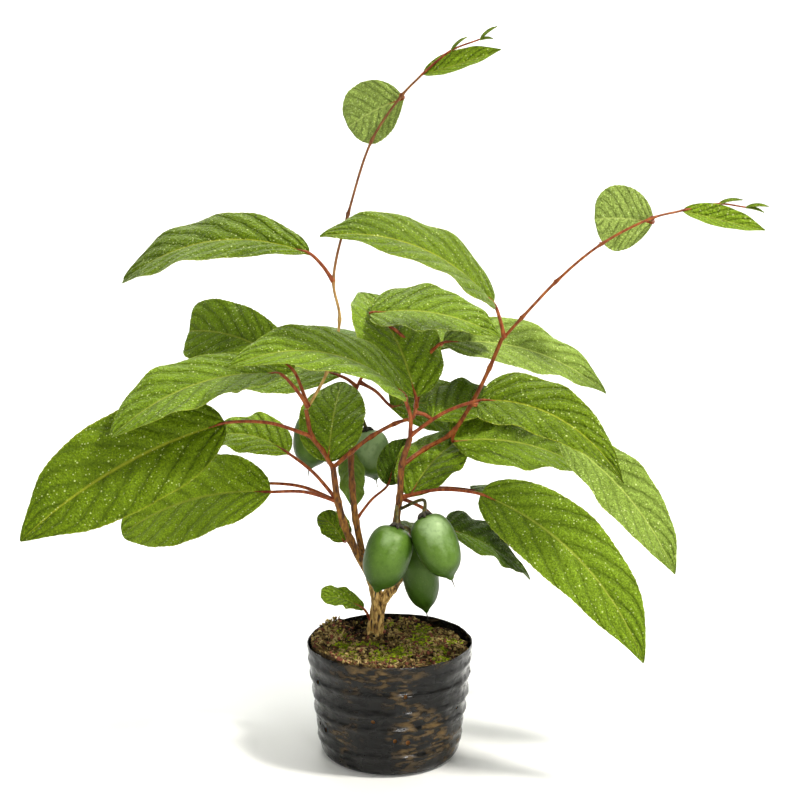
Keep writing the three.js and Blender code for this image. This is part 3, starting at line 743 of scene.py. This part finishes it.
def growStalk(spec, base, start):
    reach, length = spec["stalk"][0], spec["blade"][0]
    root = min(stalkDetail["root"], length * stalkDetail["shortRoot"])
    bow = (start + base) / 2 + np.array([0, 0, reach * stalkDetail["bow"]])
    aim = direction(spec["aim"][0], spec["aim"][1] - spec["droop"] * root / length / 2)
    down = -np.cross(sideOf(aim, spec["roll"]), aim) * stalkDetail["drop"]
    size = min(1, stalkDetail["thin"] + length / stalkDetail["fullLeaf"])
    path = [start, bow, base + down * 0.5, base + aim * root + down * 1.5]
    points, shares, length = curvePoints(path, stalkDetail["step"])
    radii = stalkDetail["radius"] * size * np.interp(shares, (0, 1), (1, stalkDetail["taper"]))
    radii = radii + stalkDetail["foot"] * np.exp(-(shares * length / stalkDetail["footLength"]) ** 2)
    radii = radii * (1 - 0.6 * smoothStep(shares * length, length - root, length))
    return tube(points, radii, stalkDetail["sides"])


def leafMaterial(name, light, deep, ribColour, dotColour):
    gloss = {"Sheen_Weight": 0.06, "Sheen_Roughness": 0.3, "Sheen_Tint": (0.95, 1, 0.6, 1)}
    tint = (0.95, 1, 0.45, 1)
    material, tree, shader = makeMaterial(
        name, light, 0.5, Specular_IOR_Level=0.22, Specular_Tint=tint, **gloss)
    place = objectPlace(tree)
    parts = addNode(tree, "SeparateXYZ", {0: addNode(tree, "UVMap", {}, uv_map="leafMap").outputs["UV"]})
    along = parts.outputs["X"]
    aside = sumOf(tree, "ABSOLUTE", sumOf(tree, "MULTIPLY_ADD", parts.outputs["Y"], 2, -1))
    right = sumOf(tree, "MULTIPLY", sumOf(tree, "GREATER_THAN", parts.outputs["Y"], 0.5), 0.5)
    lean = sumOf(tree, "MULTIPLY_ADD", aside, leafForm["bow"], leafForm["lean"])
    forward = sumOf(tree, "SUBTRACT", along, sumOf(tree, "MULTIPLY", aside, lean))
    waver = sumOf(tree, "MULTIPLY_ADD", noiseAt(tree, place, 9, 2), 0.3, right)
    phase = sumOf(tree, "MULTIPLY_ADD", forward, leafForm["veins"], waver)
    nearVein = sumOf(tree, "PINGPONG", phase, 0.5)
    darker = tuple(0.62 * c for c in deep)
    brighter = tuple(1.3 * c for c in light)
    speckle = tuple(2.4 * c for c in light)
    colour = band(tree, noiseAt(tree, place, 26, 4), (0.25, deep), (0.52, light))
    net = cellsAt(tree, place, 2.2)
    colour = paintOver(
        tree, colour,
        (brighter, net, (0.1, 0.6), (0.45, 0)),
        (darker, noiseAt(tree, place, 1.1, 3), (0.44, 0), (0.64, 0.62)),
        (speckle, noiseAt(tree, place, 0.8, 2), (0.5, 0), (0.66, 0.42)),
        # Painted shade: the next coat darkens the sunken vein grooves.
        (darker, nearVein, (0, 0.45), (0.08, 0.36), (0.25, 0)),
        (ribColour, aside, (0, 0.85), (0.018, 0.6), (0.04, 0)),
        (ribColour, aside, (0.965, 0), (1, 0.7)))
    chosen = band(tree, noiseAt(tree, place, 6, 2), (0.38, 0), (0.5, 1))
    small = band(tree, cellsAt(tree, place, 2.4), (0.1, 0.7), (0.2, 0))
    large = band(tree, cellsAt(tree, place, 5.3), (0.08, 0.7), (0.12, 0))
    sprinkled = sumOf(tree, "MAXIMUM", sumOf(tree, "MULTIPLY", small, chosen), large)
    colour = blendOf(tree, sprinkled, colour, dotColour)
    sunken = band(tree, nearVein, (0, 0), (0.1, 0.6), (0.5, 1))
    relief = [
        (sunken, 0.65), (noiseAt(tree, place, 5, 3, 0.5), 0.6), (band(tree, net, (0.1, 1), (0.6, 0)), 0.4),
        (noiseAt(tree, place, 0.9, 3), 0.35),
    ]
    finishWith(tree, shader, colour, band(tree, net, (0.1, 0.4), (0.6, 0.6)), relief)
    return material


def underMaterial(name, pale, deep):
    material, tree, shader = makeMaterial(name, pale, 0.6, Specular_IOR_Level=0.25)
    place = objectPlace(tree)
    colour = band(tree, noiseAt(tree, place, 9, 4), (0.35, deep), (0.65, pale))
    net = cellsAt(tree, place, 2.2, "DISTANCE_TO_EDGE")
    colour = paintOver(tree, colour, (tuple(1.3 * c for c in pale), net, (0, 0.35), (0.12, 0)))
    finishWith(tree, shader, colour, relief=[(net, -0.2)])
    return material


def growFoliage():
    blades, stalks, owners = {}, [], {}
    for name, bunch in foliage.items():
        start = nodePlace(*bunch["on"])
        twig = bunch["twig"]
        if twig:
            stalks.append(growLimb(twig, swell=False, slim=stemDetail["slim"]))
        for number, spec in enumerate(bunch["leaves"]):
            form = {**leafForm, **spec["form"]}
            base = root = nodeOf(twig, spec["at"]) if twig else start
            if spec["stalk"]:
                reach, heading, rise = spec["stalk"]
                base = root + direction(heading, rise) * reach
                stalks.append(growStalk(spec, base, root))
            chance = random.Random(name + str(number))
            blades.setdefault(form["tone"], []).append(growBlade(spec, form, base, chance))
            owners.setdefault(form["tone"], set()).add(name)
    under = underMaterial("leafUnder", (0.12, 0.2, 0.012), (0.065, 0.12, 0.004))
    # Apart from young and tips, the tones are copies of one leaf green: the lighter ones are painted light
    # and the darker ones painted shade.
    tones = {  # light, deep, rib and dots
        "leavesPaintedLight": ((0.18, 0.262, 0.04), (0.098, 0.154, 0.012), (0.36, 0.44, 0.09), (0.6, 0.68, 0.26)),
        "leavesMid": ((0.132, 0.213, 0.008), (0.066, 0.115, 0.002), (0.3, 0.35, 0.04), (0.6, 0.68, 0.26)),
        "leavesPaintedHalfShade": ((0.1, 0.161, 0.002), (0.048, 0.088, 0.001), (0.3, 0.33, 0.022), (0.6, 0.68, 0.26)),
        "young": ((0.225, 0.305, 0.065), (0.154, 0.222, 0.036), (0.38, 0.47, 0.12), (0.42, 0.52, 0.2)),
        "leavesLit": ((0.19, 0.29, 0.01), (0.097, 0.162, 0.003), (0.34, 0.4, 0.04), (0.6, 0.68, 0.26)),
        "leavesShade": ((0.062, 0.115, 0.006), (0.032, 0.064, 0.002), (0.16, 0.2, 0.02), (0.4, 0.5, 0.18)),
        "tips": ((0.16, 0.25, 0.01), (0.08, 0.14, 0.003), (0.34, 0.36, 0.06), (0.5, 0.56, 0.2)),
    }
    for tone, parts in blades.items():
        isYoung = tone in ("young", "tips")
        top = leafMaterial(tone + "Top", *tones[tone])
        piece = joinParts(tone + "Leaves" if isYoung else tone, parts, top, under, mapName="leafMap")
        handOver(piece, "young_leaf" if isYoung else "leaf", *sorted(owners[tone]))
    stalkRed = stemMaterial("leafStalk", (0.14, 0.02, 0.006), (0.36, 0.1, 0.025))
    handOver(joinParts("leafStalks", stalks, stalkRed), "stem")


growFoliage()
print("foliage ready")


# Fruits: each hangs on its own stalk from a stem
fruits = {  # stem and node, bend of the stalk, top, tip, radius and painted shade, which below zero paints the fruit lighter
    "fruit_front_left": (("stem_centre", 2.2), (4, -12, 155), (4, -22, 146), (-8, -26, 108), 13.6, 0.08),
    "fruit_front_right": (("stem_centre", 2.5), (20, -11, 159), (20, -24, 153), (36, -28, 116), 12.8, 0.01),
    "fruit_front_low": (("stem_centre", 1.7), (11, 0, 139), (15, -3, 131), (22, 0, 87), 11, 0.25),
    "fruit_left": (("stem_middle", 3.1), (-36, 44, 206), (-44, 40, 202), (-50, 34, 167), 13, -0.02),
    "fruit_middle": (("stem_middle", 3.4), (-18, 52, 196), (-15, 57, 187), (-9, 54, 156), 12.5, -0.12),
}
fruitDetail = {
    "sides": 40, "style": 4, "stalk": 1.05, "sepals": 5, "sepalLength": 4.8, "lumps": 0.5, "lumpGrain": 14,
    # The first setting below is the direction that the painted light on the fruits comes from.
    "paintedLightAim": (0.05, -0.75, 0.6), "start": 0.05, "styleRadius": 0.75, "sepalWidth": 1.4, "sunk": 1.5,
    "profile": [  # share of the length from the stalk, share of the radius
        (0.004, 0.2), (0.012, 0.36), (0.035, 0.56), (0.08, 0.74), (0.15, 0.88), (0.25, 0.97), (0.38, 1),
        (0.52, 0.985), (0.64, 0.93), (0.74, 0.825), (0.82, 0.68), (0.87, 0.53), (0.905, 0.385), (0.93, 0.27),
        (0.955, 0.185), (0.98, 0.13), (1, 0.09),
    ],
}


def fruitMaterial():
    material, tree, shader = makeMaterial(
        "fruitSkin", (0.1, 0.2, 0.02), 0.42, Specular_IOR_Level=0.3, Specular_Tint=(0.95, 1, 0.7, 1))
    place = objectPlace(tree)
    # Painted light and shade: a per-corner value, higher on the side turned towards a set light direction,
    # picks dark colours away from it, paler ones towards it and a painted highlight at the top stop.
    bloom = addNode(tree, "Attribute", {}, attribute_name="bloom").outputs["Fac"]
    paintedLightLevel = sumOf(tree, "SUBTRACT", bloom, 0.12)
    uneven = sumOf(tree, "MULTIPLY_ADD", noiseAt(tree, place, 9, 3), 0.25, paintedLightLevel)
    colour = band(
        tree, uneven, (0.3, (0.012, 0.036, 0.001)), (0.66, (0.034, 0.08, 0.005)),
        (0.85, (0.08, 0.16, 0.016)), (0.99, (0.28, 0.4, 0.18)))
    spots = cellsAt(tree, place, 1.5)
    freckles = noiseAt(tree, place, 2.4, 4)
    colour = paintOver(
        tree, colour, ((0.2, 0.32, 0.09), spots, (0.06, 0.25), (0.2, 0)),
        ((0.015, 0.045, 0.001), freckles, (0.5, 0), (0.7, 0.25)))
    rough = band(tree, noiseAt(tree, place, 6, 3), (0.3, 0.34), (0.7, 0.52))
    finishWith(tree, shader, colour, rough, [(noiseAt(tree, place, 4, 3), 0.25), (spots, 0.08)])
    return material


def growTrim(name, on, bend, neck, tip, away, materials):  # stalk, dried style and sepals
    points, shares, _ = curvePoints([nodePlace(*on), bend, neck, neck + fruitDetail["sunk"] * away], 1.5)
    parts = [tube(points, fruitDetail["stalk"] * (1 + 0.5 * smoothStep(shares, 0.75, 1)), 12, 2)]
    shares = np.linspace(0, 1, 8)
    hang = np.outer(shares * (fruitDetail["style"] + 1), away) + np.outer(shares ** 2, (0.3, -0.2, -1))
    parts.append(tube(tip - away + hang, fruitDetail["styleRadius"] * (1 - 0.75 * shares ** 0.5), 10, 1))
    across = unit(np.cross(away, (0.2, 1, 0.1)))
    other = np.cross(away, across)
    reach = np.linspace(0, 1, 7)
    lift = np.outer(0.8 * np.sin(reach * 4) - 0.1, -away)
    for turn in anglesOf(fruitDetail["sepals"]):
        out = across * np.cos(turn) + other * np.sin(turn)
        path = neck - 0.4 * away + np.outer(reach * fruitDetail["sepalLength"], out) + lift
        parts.append(tube(path, fruitDetail["sepalWidth"] * np.sin(np.pi * (0.25 + 0.72 * reach)), 8, 1))
    return joinParts(name + "Trim", parts, *materials)


def makeFruit(name, on, bend, top, tip, radius, paintedShade, materials):
    top, tip = Vector(top), Vector(tip)
    length = (tip - top).length
    aim = (tip - top).normalized()
    lastDepth, lastShare = 0, fruitDetail["start"]
    body = startRing(fruitDetail["sides"], lastShare * radius)
    closeRing()
    selectRim()
    for depth, share in fruitDetail["profile"]:
        extrudeRing(-(depth - lastDepth) * length, share / lastShare, -depth * length)
        lastDepth, lastShare = depth, share
    closeRing()
    faceOutward()
    body.modifiers.new("smooth", "SUBSURF").levels = 1
    addRelief(body, "lumps", fruitDetail["lumpGrain"], 1, fruitDetail["lumps"])
    applyAll(body)
    body.matrix_world = Matrix.Translation(top * mm) @ aim.to_track_quat("-Z", "Y").to_matrix().to_4x4()
    settle(body)
    paintedLightAim = Vector(fruitDetail["paintedLightAim"]).normalized()
    # Painted light and shade: the value grows where a corner faces the set light direction and drops by the
    # fruit's painted shade.
    bloom = body.data.attributes.new("bloom", "FLOAT", "POINT")
    for corner, value in zip(body.data.vertices, bloom.data):
        value.value = 0.5 - paintedShade + 0.5 * corner.normal.dot(paintedLightAim)
    wear(body, *materials)
    trim = growTrim(name, on, bend, np.array(top), np.array(tip), np.array(aim), materials)
    first, *others = name.split("_")
    piece = joinPieces(first + "".join(word.capitalize() for word in others), [body, trim])
    smoothOver(piece, 60)
    handOver(piece, "fruit", name)


fruitMaterials = [
    fruitMaterial(),
    makeMaterial("driedCalyx", (0.025, 0.02, 0.01), 0.75)[0],
    stemMaterial("fruitStalk", (0.03, 0.025, 0.005), (0.14, 0.11, 0.02)),
]
for fruitName, settings in fruits.items():
    makeFruit(fruitName, *settings, fruitMaterials)
print("fruits ready")


# Bag: filled black film with folds that run round it
bag = {
    "sides": 160, "height": 70, "start": 8, "foot": 42, "footEdge": 6, "rim": 50, "film": 0.5,
    "folds": [  # height, depth and tilt
        (12, 0.9, 0.8), (20.5, 0.4, -0.6), (29.5, 1.1, 0.7), (40, 1.2, -0.6), (51, 1.1, 0.7), (61, 0.8, -0.5),
    ],
    "foldShape": [(-3.4, -0.4), (-0.6, 0.75), (0.8, 0.9), (2.8, -0.5)],  # rise, share of the depth
    "lip": [(67, 0), (69.3, 0.12), (70, 0.4)],  # height, inset
    "relief": [("creases", 11, 2, 0.8, "side", 0.28), ("dents", 26, 2, 1.7, "side", 1)],
    "holes": [(24, -86), (22.5, -76), (36, -102), (52, -79)], "around": 5, "holeRadius": 1.3,
}


def bagRadius(height):
    return bag["foot"] + (bag["rim"] - bag["foot"]) * height / bag["height"]


def filmMaterial():
    material, tree, shader = makeMaterial("blackFilm", (0.005, 0.005, 0.005), 0.3, Specular_IOR_Level=0.22)
    place = objectPlace(tree)
    dust = noiseAt(tree, objectPlace(tree, (1, 1, 2.6)), 7, 8, 0.3)
    patch = band(tree, noiseAt(tree, place, 34, 3), (0.5, 0), (0.64, 0.9))
    stained = sumOf(tree, "MULTIPLY", band(tree, dust, (0.45, 0), (0.82, 1)), patch)
    colour = blendOf(tree, stained, (0.003, 0.003, 0.0028), (0.2, 0.12, 0.035))
    # On the film this is only a faint paler mottle of dust.
    bloom = noiseAt(tree, place, 4, 4)
    colour = paintOver(tree, colour, ((0.02, 0.017, 0.011), bloom, (0.5, 0), (0.8, 0.25)))
    rough = band(tree, dust, (0.48, 0.14), (0.66, 0.5))
    wrinkles = noiseAt(tree, objectPlace(tree, (1, 1, 3)), 6, 4)
    upright = noiseAt(tree, objectPlace(tree, (4, 4, 0.5)), 9, 2)
    finishWith(tree, shader, colour, rough, [(wrinkles, 0.22), (upright, 0.12)])
    return material


def punchHoles(piece):
    punches = []
    for height, turn in bag["holes"]:
        for k in range(bag["around"]):
            angle = math.radians(turn + 360 * k / bag["around"])
            spot = Vector((math.cos(angle), math.sin(angle), 0)) * bagRadius(height) * mm
            spot.z = height * mm
            bpy.ops.mesh.primitive_cylinder_add(
                vertices=14, radius=bag["holeRadius"] * mm, depth=8 * mm, location=spot)
            punch = bpy.context.object
            punch.rotation_euler = (0, math.pi / 2, angle)
            punch.scale = (dice.uniform(0.7, 1.1), dice.uniform(0.8, 1.3), 1)
            settle(punch)
            punches.append(punch)
    punch = joinPieces("punch", punches)
    cut = piece.modifiers.new("holes", "BOOLEAN")
    cut.operation = "DIFFERENCE"
    cut.object = punch
    cut.solver = "EXACT"
    applyAll(piece)
    bpy.data.objects.remove(punch)


def makeBag():
    foot, edge = bag["foot"], bag["footEdge"]
    rings = [(20, 0), (foot - edge, 0)]
    for turn in (25, 50, 75, 90):
        angle = math.radians(turn)
        rings.append((foot - edge + edge * math.sin(angle), edge * (1 - math.cos(angle))))
    rings = [(*ring, 0) for ring in rings]
    for height, depth, tilt in bag["folds"]:
        for (above, out), turn in zip(bag["foldShape"], (tilt, 0, 0, -tilt)):
            rings.append((bagRadius(height + above) + out * depth, height + above, turn))
    rings += [(bagRadius(height) - inset, height, 0) for height, inset in bag["lip"]]
    lastRadius, lastHeight = bag["start"], 0
    piece = startRing(bag["sides"], lastRadius)
    piece.name = "bagFilm"
    for radius, height, turn in rings:
        extrudeRing(height - lastHeight, radius / lastRadius, height)
        if turn:
            bpy.ops.transform.rotate(
                value=math.radians(turn), orient_axis="X", center_override=(0, 0, height * mm))
        lastRadius, lastHeight = radius, height
    bpy.ops.mesh.select_all(action="DESELECT")
    shape = bmesh.from_edit_mesh(piece.data)
    for corner in shape.verts:
        corner.select = corner.co.xy.length < (bag["start"] + 1) * mm
    shape.select_flush(True)
    closeRing()
    faceOutward()
    side = piece.vertex_groups.new(name="side")
    for corner in piece.data.vertices:
        side.add([corner.index], float(smoothStep(corner.co.z / mm, 2, 10)), "REPLACE")
    piece.modifiers.new("smooth", "SUBSURF").levels = 1
    for relief in bag["relief"]:
        addRelief(piece, *relief)
    film = piece.modifiers.new("film", "SOLIDIFY")
    film.thickness = bag["film"] * mm
    film.offset = -1
    applyAll(piece)
    piece.vertex_groups.clear()
    punchHoles(piece)
    wear(piece, filmMaterial())
    smoothOver(piece, 45)
    handOver(piece, "bag_film", "grow_bag")


makeBag()
print("bag ready")


# Soil: crumbs, straw and moss on a lumpy ground that is banked up to the rim on the left
soil = {
    "level": 62, "heap": 3, "slope": 0.05, "lump": 1.6, "foot": (-9.5, 22), "flat": (18, 27), "radius": 47.3,
    "spacing": (6, 5, 4), "slanting": 0.6, "bank": 2.5, "bankFrom": (30, 44), "bankEnds": (8, 30),
    "sides": 96, "rings": 22, "rough": 3, "roughGrain": 3.6,
    "skirt": 6, "depth": 50, "base": 5, "taper": 0.84,
    "crumbs": 6500, "crumbSize": (0.4, 1.8), "heaped": 700, "footHeap": (5, 12, 5), "hollow": (-17, 34, 12),
    "lift": 3.2, "tanShare": (0.2, 0.5), "uneven": (0.75, 1.25), "flatter": (0.6, 1), "thinner": (0.45, 0.9),
    "spread": 45, "straws": 480, "strawLength": (3, 8), "strawLift": (0.8, 3), "strawRise": (-25, 25),
    "strawRadii": (0.15, 0.35, 0.4, 0.35, 0.15), "strawSize": (0.6, 1.1), "strawSag": 0.04,
    "sprigs": 1700, "bare": 7, "sprigLift": (0.8, 2.6), "shoots": 7, "shootLength": (0.9, 1.7),
    "shootRise": (15, 70), "shootRadii": (0.22, 0.26, 0.05), "shootSag": 0.12,
}
mossPatches = [  # x, y, spread, share
    (-14, 4, 9, 5), (27, -8, 7, 3), (6, -12, 8, 3), (-28, -6, 8, 2), (16, 8, 10, 3), (-3, -24, 10, 3),
    (22, 28, 8, 3), (-30, 22, 7, 1), (0, 38, 9, 2), (-24, -24, 7, 1), (30, -24, 6, 1), (38, 12, 6, 1),
]
tanPatches = [(-36, 26, 11), (-38, 4, 9), (14, -2, 9), (32, 20, 10), (26, -14, 8), (-20, -20, 8), (6, 36, 9)]


def fromFoot(x, y):
    return math.hypot(x - soil["foot"][0], y - soil["foot"][1])


def groundHeight(x, y):
    across, away, slanting = soil["spacing"]
    lumps = math.sin(x / across + 1) * math.cos(y / away) + soil["slanting"] * math.sin((x + y) / slanting)
    bank = smoothStep(math.hypot(x, y), *soil["bankFrom"]) * (1 - smoothStep(x, *soil["bankEnds"]))
    rough = soil["heap"] + soil["lump"] * lumps - soil["slope"] * x + soil["bank"] * bank
    return soil["level"] + float(rough * smoothStep(fromFoot(x, y), *soil["flat"]))


def soilMaterial(name, deep, pale, grain=1.2, rust=None):  # rust shows through the bag's holes
    material, tree, shader = makeMaterial(name, deep, 0.95, Specular_IOR_Level=0.2)
    speckle = noiseAt(tree, objectPlace(tree), grain, 6)
    colour = band(tree, speckle, (0.35, deep), (0.7, pale))
    if rust:
        colour = paintOver(tree, colour, (rust, heightAt(tree), (0.056, 1), (0.058, 0)))
    finishWith(tree, shader, colour, relief=[(speckle, 0.6)])
    return material


def makeGround(material):
    piece = startRing(soil["sides"], soil["radius"], soil["level"])
    piece.name = "ground"
    for ring in range(soil["rings"] - 1):
        extrudeRing(0, 1 - 1 / (soil["rings"] - ring), soil["level"])
    closeRing()
    bpy.ops.object.mode_set(mode="OBJECT")
    piece.modifiers.new("finer", "SUBSURF").levels = 1
    applyAll(piece)
    for corner in piece.data.vertices:
        corner.co.z = groundHeight(corner.co.x / mm, corner.co.y / mm) * mm
    addRelief(piece, "clods", soil["roughGrain"], 3, soil["rough"])
    applyAll(piece)
    bpy.ops.object.mode_set(mode="EDIT")
    bpy.ops.mesh.select_mode(type="EDGE")
    selectRim()
    for step in (soil["skirt"], soil["depth"]):
        extrudeUp(-step)
    bpy.ops.transform.resize(
        value=(soil["taper"], soil["taper"], 0), center_override=(0, 0, soil["base"] * mm))
    closeRing()
    faceOutward()
    wear(piece, material)
    smoothOver(piece, 70)
    handOver(piece, "soil", "soil")


def lumpShape():  # the corners and faces of an icosahedron
    shape = bmesh.new()
    bmesh.ops.create_icosphere(shape, subdivisions=1, radius=1)
    corners = np.array([corner.co[:] for corner in shape.verts])
    faces = [tuple(corner.index for corner in face.verts) for face in shape.faces]
    shape.free()
    return corners, faces


def randomTurn():
    axis = Vector([dice.gauss(0, 1) for _ in range(3)]).normalized()
    return np.array(Matrix.Rotation(dice.uniform(0, 2 * math.pi), 3, axis))


def nearest(patches, x, y):
    return max(math.exp(-((x - px) ** 2 + (y - py) ** 2) / spread ** 2) for px, py, spread in patches)


def makeCrumb(k, corners, faces):
    inner, outer, rise = soil["footHeap"]
    turn = dice.uniform(0, 2 * math.pi)
    radius, x, y = soil["radius"] * math.sqrt(dice.random()), 0, 0
    heap = 0
    if k < soil["heaped"]:  # these lie in a heap round the foot of the trunk
        radius, (x, y) = dice.uniform(inner, outer), soil["foot"]
        heap = rise * max(0, (outer - radius) / (outer - inner))
    x, y = x + radius * math.cos(turn), y + radius * math.sin(turn)
    size = dice.uniform(*soil["crumbSize"]) * dice.uniform(0.5, 1)
    tan = nearest(tanPatches, x, y)
    # Painted shade: only dark crumbs lie in the hollow behind the trunk.
    if dice.random() < nearest([soil["hollow"]], x, y):
        number = 0
    elif dice.random() < soil["tanShare"][0] + soil["tanShare"][1] * tan:
        number = 2
    else:
        number = dice.choice((0, 1, 1, 1, 3))
    lift = (1 + soil["lift"] * tan + heap) * dice.random() + 0.5 * size
    lumpy = corners * np.array([[dice.uniform(*soil["uneven"])] for _ in corners])
    flatter, thinner = dice.uniform(*soil["flatter"]), dice.uniform(*soil["thinner"])
    stretched = lumpy * np.array([1, flatter, thinner]) * size
    place = np.array([x, y, groundHeight(x, y) + lift])
    return stretched @ randomTurn() + place, faces, [number] * len(faces), None


def sag(middle, reach, aim, drop):  # a path that leaves the middle along the aim and drops
    return middle + reach * aim - drop * reach ** 2 * np.array([0, 0, 1])


def makeStraw():
    radius = soil["spread"] * math.sqrt(dice.random())
    turn = dice.uniform(0, 2 * math.pi)
    x, y = radius * math.cos(turn), radius * math.sin(turn)
    heading = dice.uniform(0, 360)
    reach = np.linspace(-0.5, 0.5, 5)[:, None] * dice.uniform(*soil["strawLength"])
    middle = np.array([x, y, groundHeight(x, y) + dice.uniform(*soil["strawLift"])])
    path = sag(middle, reach, direction(heading, dice.uniform(*soil["strawRise"])), soil["strawSag"])
    radii = np.array(soil["strawRadii"]) * dice.uniform(*soil["strawSize"])
    return tube(path, radii, 5, dice.choice((1, 2, 4, 3)))


def makeCrumbs(materials):
    shape = lumpShape()
    parts = [makeCrumb(k, *shape) for k in range(soil["crumbs"] + soil["heaped"])]
    parts += [makeStraw() for _ in range(soil["straws"])]
    handOver(joinParts("crumbs", parts, *materials), "soil")


def makeMoss(materials):
    parts = []
    weights = [share for _, _, _, share in mossPatches]
    for _ in range(soil["sprigs"]):
        px, py, spread, _ = dice.choices(mossPatches, weights)[0]
        x, y = dice.gauss(px, spread * 0.45), dice.gauss(py, spread * 0.45)
        if math.hypot(x, y) > soil["spread"] or fromFoot(x, y) < soil["bare"]:
            continue
        middle = np.array([x, y, groundHeight(x, y) + dice.uniform(*soil["sprigLift"])])
        number = dice.choice((0, 0, 1, 2))
        for k in range(soil["shoots"]):
            heading = 360 * k / soil["shoots"] + dice.uniform(-20, 20)
            out = direction(heading, dice.uniform(*soil["shootRise"]))
            reach = np.array([0, 0.55, 1])[:, None] * dice.uniform(*soil["shootLength"])
            parts.append(tube(sag(middle, reach, out, soil["shootSag"]), soil["shootRadii"], 3, number))
    handOver(joinParts("moss", parts, *materials), "soil")


ground = soilMaterial("groundSoil", (0.022, 0.013, 0.005), (0.11, 0.07, 0.028), 1.3, (0.4, 0.17, 0.05))
crumbMaterials = [soilMaterial(*look) for look in (
    ("darkSoil", (0.01, 0.005, 0.002), (0.04, 0.022, 0.008)),
    ("brownSoil", (0.055, 0.034, 0.01), (0.19, 0.125, 0.04)),
    ("tanSoil", (0.26, 0.18, 0.055), (0.58, 0.44, 0.18)),
    ("redSoil", (0.11, 0.03, 0.018), (0.28, 0.1, 0.06)),
    ("straw", (0.34, 0.24, 0.08), (0.64, 0.5, 0.23)),
)]
mossMaterials = [soilMaterial(*look) for look in (
    ("brightMoss", (0.28, 0.38, 0.004), (0.5, 0.62, 0.03)),
    ("greenMoss", (0.13, 0.19, 0.004), (0.3, 0.38, 0.02)),
    ("oliveMoss", (0.13, 0.125, 0.012), (0.3, 0.28, 0.05)),
)]
makeGround(ground)
makeCrumbs(crumbMaterials)
makeMoss(mossMaterials)
print("soil ready")
